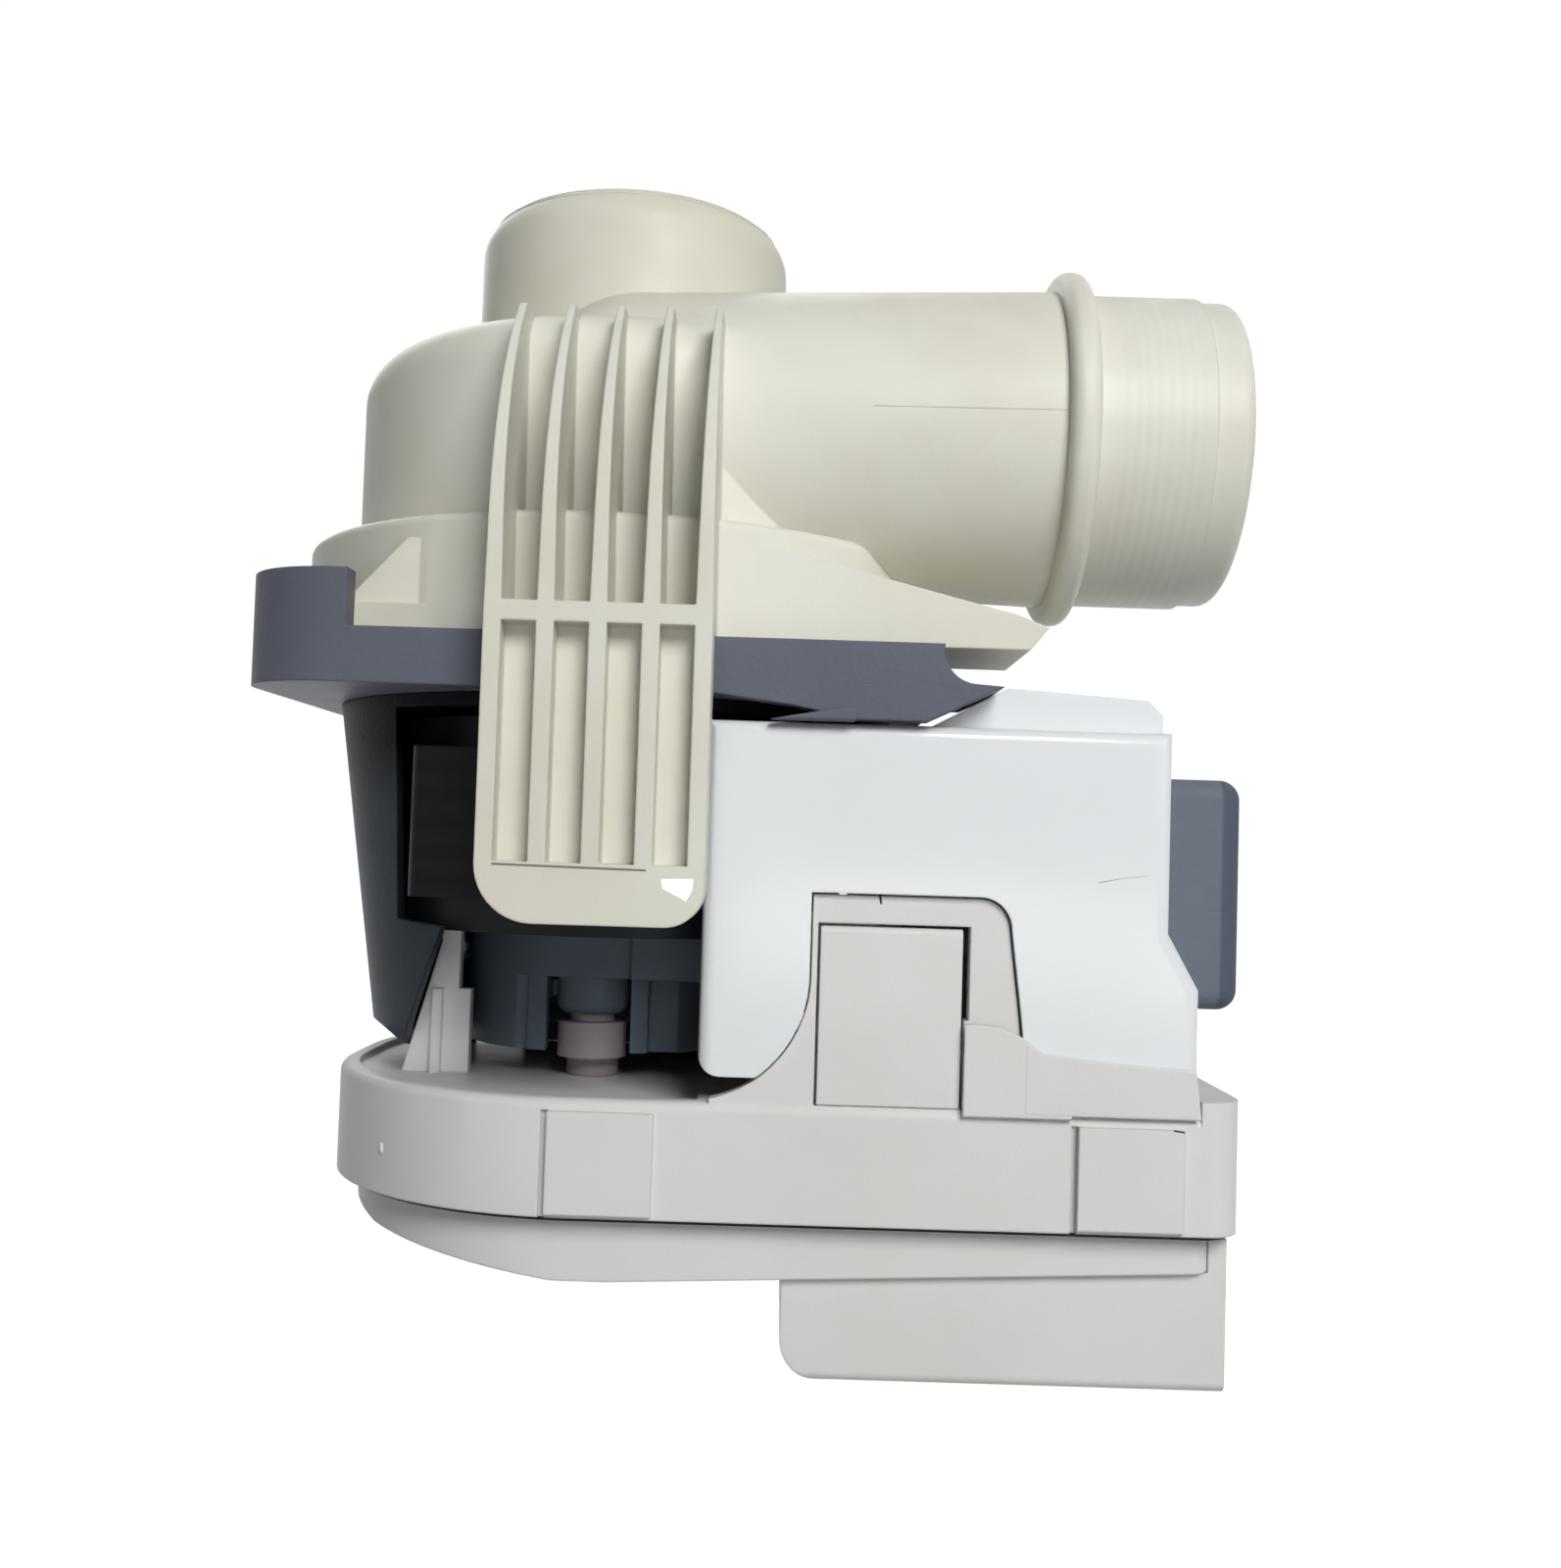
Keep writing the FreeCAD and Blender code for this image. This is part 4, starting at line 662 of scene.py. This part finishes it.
def ring_round(build, section, steps=128):
    """A closed section of (height, radius) points turned about the pump axis."""
    rows = []
    for k in range(steps):
        angle = math.tau * k / steps
        cosine, sine = math.cos(angle), math.sin(angle)
        rows.append([(radius * cosine, radius * sine, height) for height, radius in section])
    sweep(build, rows)


def thread(build, path, radius, sides=8):
    """A thin round line along points in millimetres, closed at both ends."""
    rows = []
    for k, point in enumerate(path):
        before, after = Vector(path[max(k - 1, 0)]), Vector(path[min(k + 1, len(path) - 1)])
        ahead = (after - before).normalized()
        side = ahead.cross(Vector((0.0, 0.3, 1.0))).normalized()
        up = side.cross(ahead)
        row = []
        for j in range(sides):
            angle = math.tau * j / sides
            row.append(Vector(point) + radius * (side * math.cos(angle) + up * math.sin(angle)))
        rows.append(row)
    sweep(build, rows, closed_rows=False)


def plate_piece(name, outline, ys, finish, edge=0.15):
    """A flat moulded form: an outline in X and Z between two Y places, with its edges rounded."""
    build = bmesh.new()
    rows = [[(x, y, z) for x, z in outline] for y in ys]
    sweep(build, rows, closed_rows=False)
    piece = new_piece(name, build, finish)
    round_edges(piece, edge)
    return piece


def round_edges(piece, width, segments=3):
    """Bevel the sharp edges of a piece and keep its faces evenly shaded."""
    bevel = piece.modifiers.new("Round", "BEVEL")
    bevel.width = mm(width)
    bevel.segments = segments
    bevel.limit_method = "ANGLE"
    bevel.angle_limit = math.radians(35)
    piece.modifiers.new("Even", "WEIGHTED_NORMAL")


class PUMP_OT_rings(bpy.types.Operator):
    """Relief of fine rings on the outlet spigot and the steps of the inlet's lip"""

    bl_idname = "pump.rings"
    bl_label = "Fine rings"

    def execute(self, context):
        sizes = context.scene.pump_sizes
        add_rings(FINISHES["cream"], sizes.ring_height, sizes.ring_count)
        build = bmesh.new()
        for tilt in (46, 60):
            angle = math.radians(tilt)
            radius = LIP["radius"] + LIP["round"] * math.cos(angle)
            along = LIP["height"] + LIP["round"] * math.sin(angle)
            section = []
            for j in range(10):
                turn = math.tau * j / 10
                section.append((along + LIP["step"] * math.sin(turn), radius + LIP["step"] * math.cos(turn)))
            ring_round(build, section)
        new_piece("inlet_lip_steps", build, "cream")
        return {"FINISHED"}


class PUMP_OT_mould_marks(bpy.types.Operator):
    """Parting line, sink line and nub that the moulds left, painted shade in the panel's notch and a black
    line on the pad
    """

    bl_idname = "pump.mould_marks"
    bl_label = "Mould marks"

    def execute(self, context):
        taper = (OUTLET["end_radius"] - OUTLET["start_radius"]) / (OUTLET["collar"] - OUTLET["start"])
        path = []
        reach = OUTLET["collar"] - 0.2 - OUTLET["line_from"]
        for k in range(OUTLET["line_steps"] + 1):
            x = OUTLET["line_from"] + reach * k / OUTLET["line_steps"]
            radius = OUTLET["start_radius"] + taper * (x - OUTLET["start"])
            path.append((x, OUTLET["axis_y"] - radius + 0.01, OUTLET["height"]))
        build = bmesh.new()
        thread(build, path, OUTLET["line_radius"])
        new_piece("outlet_parting_line", build, "cream")
        build = bmesh.new()
        sink = [(x, COVER_FACE, z) for x, z in ((55.0, -73.35), (57.6, -72.8), (60.1, -72.5))]
        thread(build, sink, 0.04)
        new_piece("cover_sink_line", build, "white")
        # Black plates: painted shade in the panel's notch, and a black line on the pad
        black_marks = (
            ("panel_notch_shade", [(31.75, -75.15), (32.05, -75.15), (32.2, -76.35), (32.0, -76.35)], PANEL_FACE),
            ("pad_black_line", [(63.4, -99.05), (64.6, -99.2), (64.6, -99.35), (63.4, -99.2)], PAD_FACE),
        )
        for name, outline, face in black_marks:
            plate_piece(name, outline, (face - 0.04, face + 0.1), "black", 0.02)
        build = bmesh.new()
        bmesh.ops.create_icosphere(build, subdivisions=3, radius=mm(0.55))
        bmesh.ops.scale(build, vec=(0.6, 0.6, 1.2), verts=build.verts)
        bmesh.ops.translate(build, vec=Vector((mm(-21.9), mm(-27.85), mm(-105.25))), verts=build.verts)
        new_piece("band_nub", build, "pale")
        return {"FINISHED"}


class PUMP_OT_clips(bpy.types.Operator):
    """Clip of the cover, apron of the box rim, ribs behind latch and foot, painted shadow under the toe's
    crossbar and painted highlight on the toe's facet
    """

    bl_idname = "pump.clips"
    bl_label = "Clips and facets"

    def execute(self, context):
        clip = [(19.6, -57.15), (25.4, -56.05), (27.4, -55.65), (28.4, -55.8), (28.8, -56.35), (28.8, -57.15)]
        plate_piece("cover_clip", clip, (COVER_FACE - 1.7, COVER_FACE + 0.4), "flange", 0.3)
        apron = [(47.6, BOX_TOP - 0.2), (47.6, -90.2), (49.6, -91.45), (53.0, -91.95), (57.3, -92.3),
                 (65.7, -92.8), (66.3, BOX_TOP - 0.2)]
        plate_piece("rim_apron", apron, (COVER_FACE - 0.42, COVER_FACE - 0.02), "pale", 0.18)
        low, side, top = BOX_TOP + 0.1, BOX_TOP + 18.5, BOX_TOP + 20.3
        back = [(24.6, low), (26.6, low), (26.6, side), (32.0, side), (32.0, top), (24.6, top)]
        plate_piece("latch_backing", back, (-34.0, -33.2), "pale")
        # A flush plate painted with the highlight where the toe's facet catches the light
        toe = [(9.3, -74.2), (12.6, -74.1), (12.5, -75.3), (11.9, -76.4), (9.5, -75.2)]
        toe_depth = TONGUE_FACE + 0.4
        plate_piece("toe_painted_glint", toe, (TONGUE_FACE - 0.03, toe_depth), "glint", 0.02)
        # A thin plate painted with the shadow under the crossbar, above the toe
        step_shadow = [(-7.7, -73.1), (7.8, -73.3), (7.8, -73.52), (-7.7, -73.32)]
        plate_piece("toe_step_shadow", step_shadow, (TONGUE_FACE - 0.02, toe_depth), "step_shadow", 0.01)
        foot, crest = BOX_TOP - 0.7, BOX_TOP + 2.4
        sill = [(-14.0, foot), (16.0, foot), (16.0, crest), (-14.0, crest)]
        plate_piece("rear_sill", sill, (18.0, 19.2), "slate")
        return {"FINISHED"}


def loop_points(half_wide, low, high, rounding, steps=4):
    """A rounded rectangle across a stator tooth, as (sideways, height) points."""
    corners = ((half_wide, high, 0), (-half_wide, high, 90), (-half_wide, low, 180), (half_wide, low, 270))
    points = []
    for side, height, start in corners:
        inward = math.copysign(rounding, height - (low + high) / 2)
        centre = (side - math.copysign(rounding, side), height - inward)
        for k in range(steps + 1):
            angle = math.radians(start + 90 * k / steps)
            points.append((centre[0] + rounding * math.cos(angle), centre[1] + rounding * math.sin(angle)))
    return points


class PUMP_OT_windings(bpy.types.Operator):
    """Six coils wound turn by turn round the stator's teeth"""

    bl_idname = "pump.windings"
    bl_label = "Windings"

    def execute(self, context):
        sizes = context.scene.pump_sizes
        wire = sizes.wire_radius * 1000
        inside = STACK["half_tooth"] + wire
        low = STACK["low"] - STACK["cap"] - wire
        high = STACK["top"] + STACK["cap"] + wire
        build = bmesh.new()
        for tooth in range(6):
            turn = Matrix.Rotation(math.radians(60 * tooth), 3, "Z")
            for layer in range(sizes.wire_layers):
                lift = layer * wire * 1.75
                offset = wire * (layer % 2)
                count = int((STACK["slot_high"] - STACK["slot_low"] - 2 * wire - offset) / (2 * wire)) + 1
                for k in range(count):
                    reach = STACK["slot_low"] + wire + offset + 2 * wire * k
                    wide = min(inside + lift, STACK["half_coil"])
                    loop = loop_points(wide, low - lift, high + lift, 1.2 + 0.4 * layer)
                    wind(build, [turn @ Vector((reach, side, height)) for side, height in loop], wire, turn)
        piece = new_piece("stator_windings", build, "copper")
        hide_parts("stator_coils")
        return {"FINISHED"}


def wind(build, path, radius, turn, sides=6):
    """One closed turn of round wire."""
    outward = turn @ Vector((1.0, 0.0, 0.0))
    rows = []
    for k, point in enumerate(path):
        ahead = (path[(k + 1) % len(path)] - path[k - 1]).normalized()
        across = ahead.cross(outward).normalized()
        row = []
        for j in range(sides):
            angle = math.tau * j / sides
            row.append(point + radius * (outward * math.cos(angle) + across * math.sin(angle)))
        rows.append(row)
    sweep(build, rows)


class PUMP_OT_sockets(bpy.types.Operator):
    """Collars and keys round the two sockets of the connector box"""

    bl_idname = "pump.sockets"
    bl_label = "Socket collars"

    def execute(self, context):
        for name, (y, width) in zip(("mains", "signal"), SOCKETS):
            low, high = SOCKET_ZS
            build = bmesh.new()
            rows = []
            for x, grow in ((SOCKET_FACE - 0.2, 1.1), (SOCKET_FACE + 0.5, 1.0), (SOCKET_FACE + 0.5, 0.15),
                            (SOCKET_FACE - 0.2, 0.15)):
                rows.append([(x, y - grow, low - grow), (x, y + width + grow, low - grow),
                             (x, y + width + grow, high + grow), (x, y - grow, high + grow)])
            sweep(build, rows)
            round_edges(new_piece(f"{name}_socket_collar", build, "pale", smooth=False), 0.15)
            build = bmesh.new()
            middle = y + width / 2
            rows = []
            for x in (SOCKET_FACE - 9.0, SOCKET_FACE + 0.3):
                rows.append([(x, middle - 0.9, high + 0.1), (x, middle + 0.9, high + 0.1),
                             (x, middle + 0.6, high - 0.9), (x, middle - 0.6, high - 0.9)])
            sweep(build, rows, closed_rows=False)
            round_edges(new_piece(f"{name}_socket_key", build, "pale", smooth=False), 0.12)
        return {"FINISHED"}


class PUMP_OT_stage(bpy.types.Operator):
    """Set the floor, the lamps, the sky and the camera"""

    bl_idname = "pump.stage"
    bl_label = "Stage"

    def execute(self, context):
        stage = context.scene.pump_stage
        lay_backdrop()
        hang_lamps(stage)
        set_camera(context.scene, stage)
        context.scene.view_settings.view_transform = "Standard"
        return {"FINISHED"}


def set_camera(scene, stage):
    """The photograph's viewpoint, from its fitted place, pitch and roll."""
    data = bpy.data.cameras.new("photo_camera")
    data.lens = stage.lens
    data.sensor_width = 36.0
    data.clip_start = mm(5)
    camera = bpy.data.objects.new("photo_camera", data)
    scene.collection.objects.link(camera)
    pitch, roll = stage.camera_pitch, stage.camera_roll
    ahead = Vector((0.0, math.cos(pitch), math.sin(pitch)))
    right = Vector((1.0, 0.0, 0.0))
    up = right.cross(ahead)
    across = right * math.cos(roll) + up * math.sin(roll)
    top = up * math.cos(roll) - right * math.sin(roll)
    turn = Matrix((across, top, -ahead)).transposed().to_4x4()
    spot = Vector((stage.camera_right, -stage.camera_distance, -stage.camera_drop))
    camera.matrix_world = Matrix.Translation(spot) @ turn
    scene.camera = camera


def backdrop_glow(tree):
    """White for what the camera sees and for what the surfaces mirror or let through."""
    rays = add(tree, "ShaderNodeLightPath")
    mirrored = maths(tree, "MAXIMUM", rays.outputs["Is Glossy Ray"], rays.outputs["Is Transmission Ray"])
    seen = maths(tree, "MAXIMUM", rays.outputs["Is Camera Ray"], mirrored)
    return maths(tree, "MULTIPLY", seen, 0.97)


def lay_backdrop():
    """A pale floor that curves up into a backdrop."""
    low = CAD_BOX[0][2] - mm(0.2)
    profile = [(-2.5, 0.0), (1.5, 0.0)]
    for k in range(1, 13):
        angle = math.radians(90 * k / 12)
        profile.append((1.5 + 0.9 * math.sin(angle), 0.9 - 0.9 * math.cos(angle)))
    profile.append((2.4, 4.5))
    mesh = bpy.data.meshes.new("floor")
    build = bmesh.new()
    rows = [[build.verts.new((x, y, z + low)) for y, z in profile] for x in (-5.0, 5.0)]
    for k in range(len(profile) - 1):
        build.faces.new((rows[0][k], rows[1][k], rows[1][k + 1], rows[0][k + 1]))
    build.to_mesh(mesh)
    build.free()
    for face in mesh.polygons:
        face.use_smooth = True
    floor = bpy.data.objects.new("floor", mesh)
    bpy.context.scene.collection.objects.link(floor)
    material, tree, shader = start_material("floor_paper")
    shader.inputs["Base Color"].default_value = (0.4, 0.4, 0.4, 1.0)
    shader.inputs["Roughness"].default_value = 0.9
    shader.inputs["Emission Color"].default_value = (1.0, 1.0, 1.0, 1.0)
    tree.links.new(backdrop_glow(tree), shader.inputs["Emission Strength"])
    mesh.materials.append(material)


def hang_lamp(name, place, target, size, power):
    """A square area lamp that faces a target."""
    data = bpy.data.lights.new(name, "AREA")
    data.energy = power
    data.size = size
    lamp = bpy.data.objects.new(name, data)
    lamp.location = place
    aim = Vector(target) - Vector(place)
    lamp.rotation_euler = aim.to_track_quat("-Z", "Y").to_euler()
    bpy.context.scene.collection.objects.link(lamp)


def hang_lamps(stage):
    """Main lamp at the front right above, a weaker fill at the front below, one behind, and even light."""
    middle = (0.015, 0.0, -0.055)
    hang_lamp("key_lamp", (0.24, -0.60, 0.31), middle, 0.3, stage.key_power)
    hang_lamp("fill_lamp", (0.12, -0.55, -0.22), middle, 0.3, stage.fill_power)
    hang_lamp("back_lamp", (-0.3, 0.8, 0.6), middle, 0.7, stage.fill_power * 1.8)
    world = bpy.data.worlds.new("even_light")
    bpy.context.scene.world = world
    world.use_nodes = True
    back = world.node_tree.nodes["Background"]
    back.inputs["Color"].default_value = (1.0, 1.0, 1.0, 1.0)
    strength = maths(world.node_tree, "MAXIMUM", backdrop_glow(world.node_tree), stage.world_strength)
    world.node_tree.links.new(strength, back.inputs["Strength"])


class PUMP_PT_panel(bpy.types.Panel):
    """The pump's pieces, listed in the sidebar"""

    bl_idname = "PUMP_PT_panel"
    bl_label = "Dishwasher pump"
    bl_space_type = "VIEW_3D"
    bl_region_type = "UI"
    bl_category = "Pump"

    def draw(self, context):
        column = self.layout.column()
        for operator in OPERATORS:
            column.operator(operator.bl_idname)
        for group in (context.scene.pump_finish, context.scene.pump_sizes, context.scene.pump_stage):
            for name in group.__annotations__:
                column.prop(group, name)


OPERATORS = (
    PUMP_OT_finishes,
    PUMP_OT_rings,
    PUMP_OT_mould_marks,
    PUMP_OT_clips,
    PUMP_OT_windings,
    PUMP_OT_sockets,
    PUMP_OT_stage,
)
CLASSES = (PumpFinish, PumpSizes, PumpStage, *OPERATORS, PUMP_PT_panel)


def register():
    """Register the classes and hang the settings on the scene."""
    for kind in CLASSES:
        bpy.utils.register_class(kind)
    bpy.types.Scene.pump_finish = bpy.props.PointerProperty(type=PumpFinish)
    bpy.types.Scene.pump_sizes = bpy.props.PointerProperty(type=PumpSizes)
    bpy.types.Scene.pump_stage = bpy.props.PointerProperty(type=PumpStage)


def unregister():
    """Take the settings off the scene and unregister the classes."""
    del bpy.types.Scene.pump_stage
    del bpy.types.Scene.pump_sizes
    del bpy.types.Scene.pump_finish
    for kind in reversed(CLASSES):
        bpy.utils.unregister_class(kind)


def main():
    """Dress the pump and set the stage."""
    register()
    bpy.ops.pump.finishes()
    bpy.ops.pump.rings()
    bpy.ops.pump.mould_marks()
    bpy.ops.pump.clips()
    bpy.ops.pump.windings()
    bpy.ops.pump.sockets()
    bpy.ops.pump.stage()


if __name__ == "__main__":
    main()
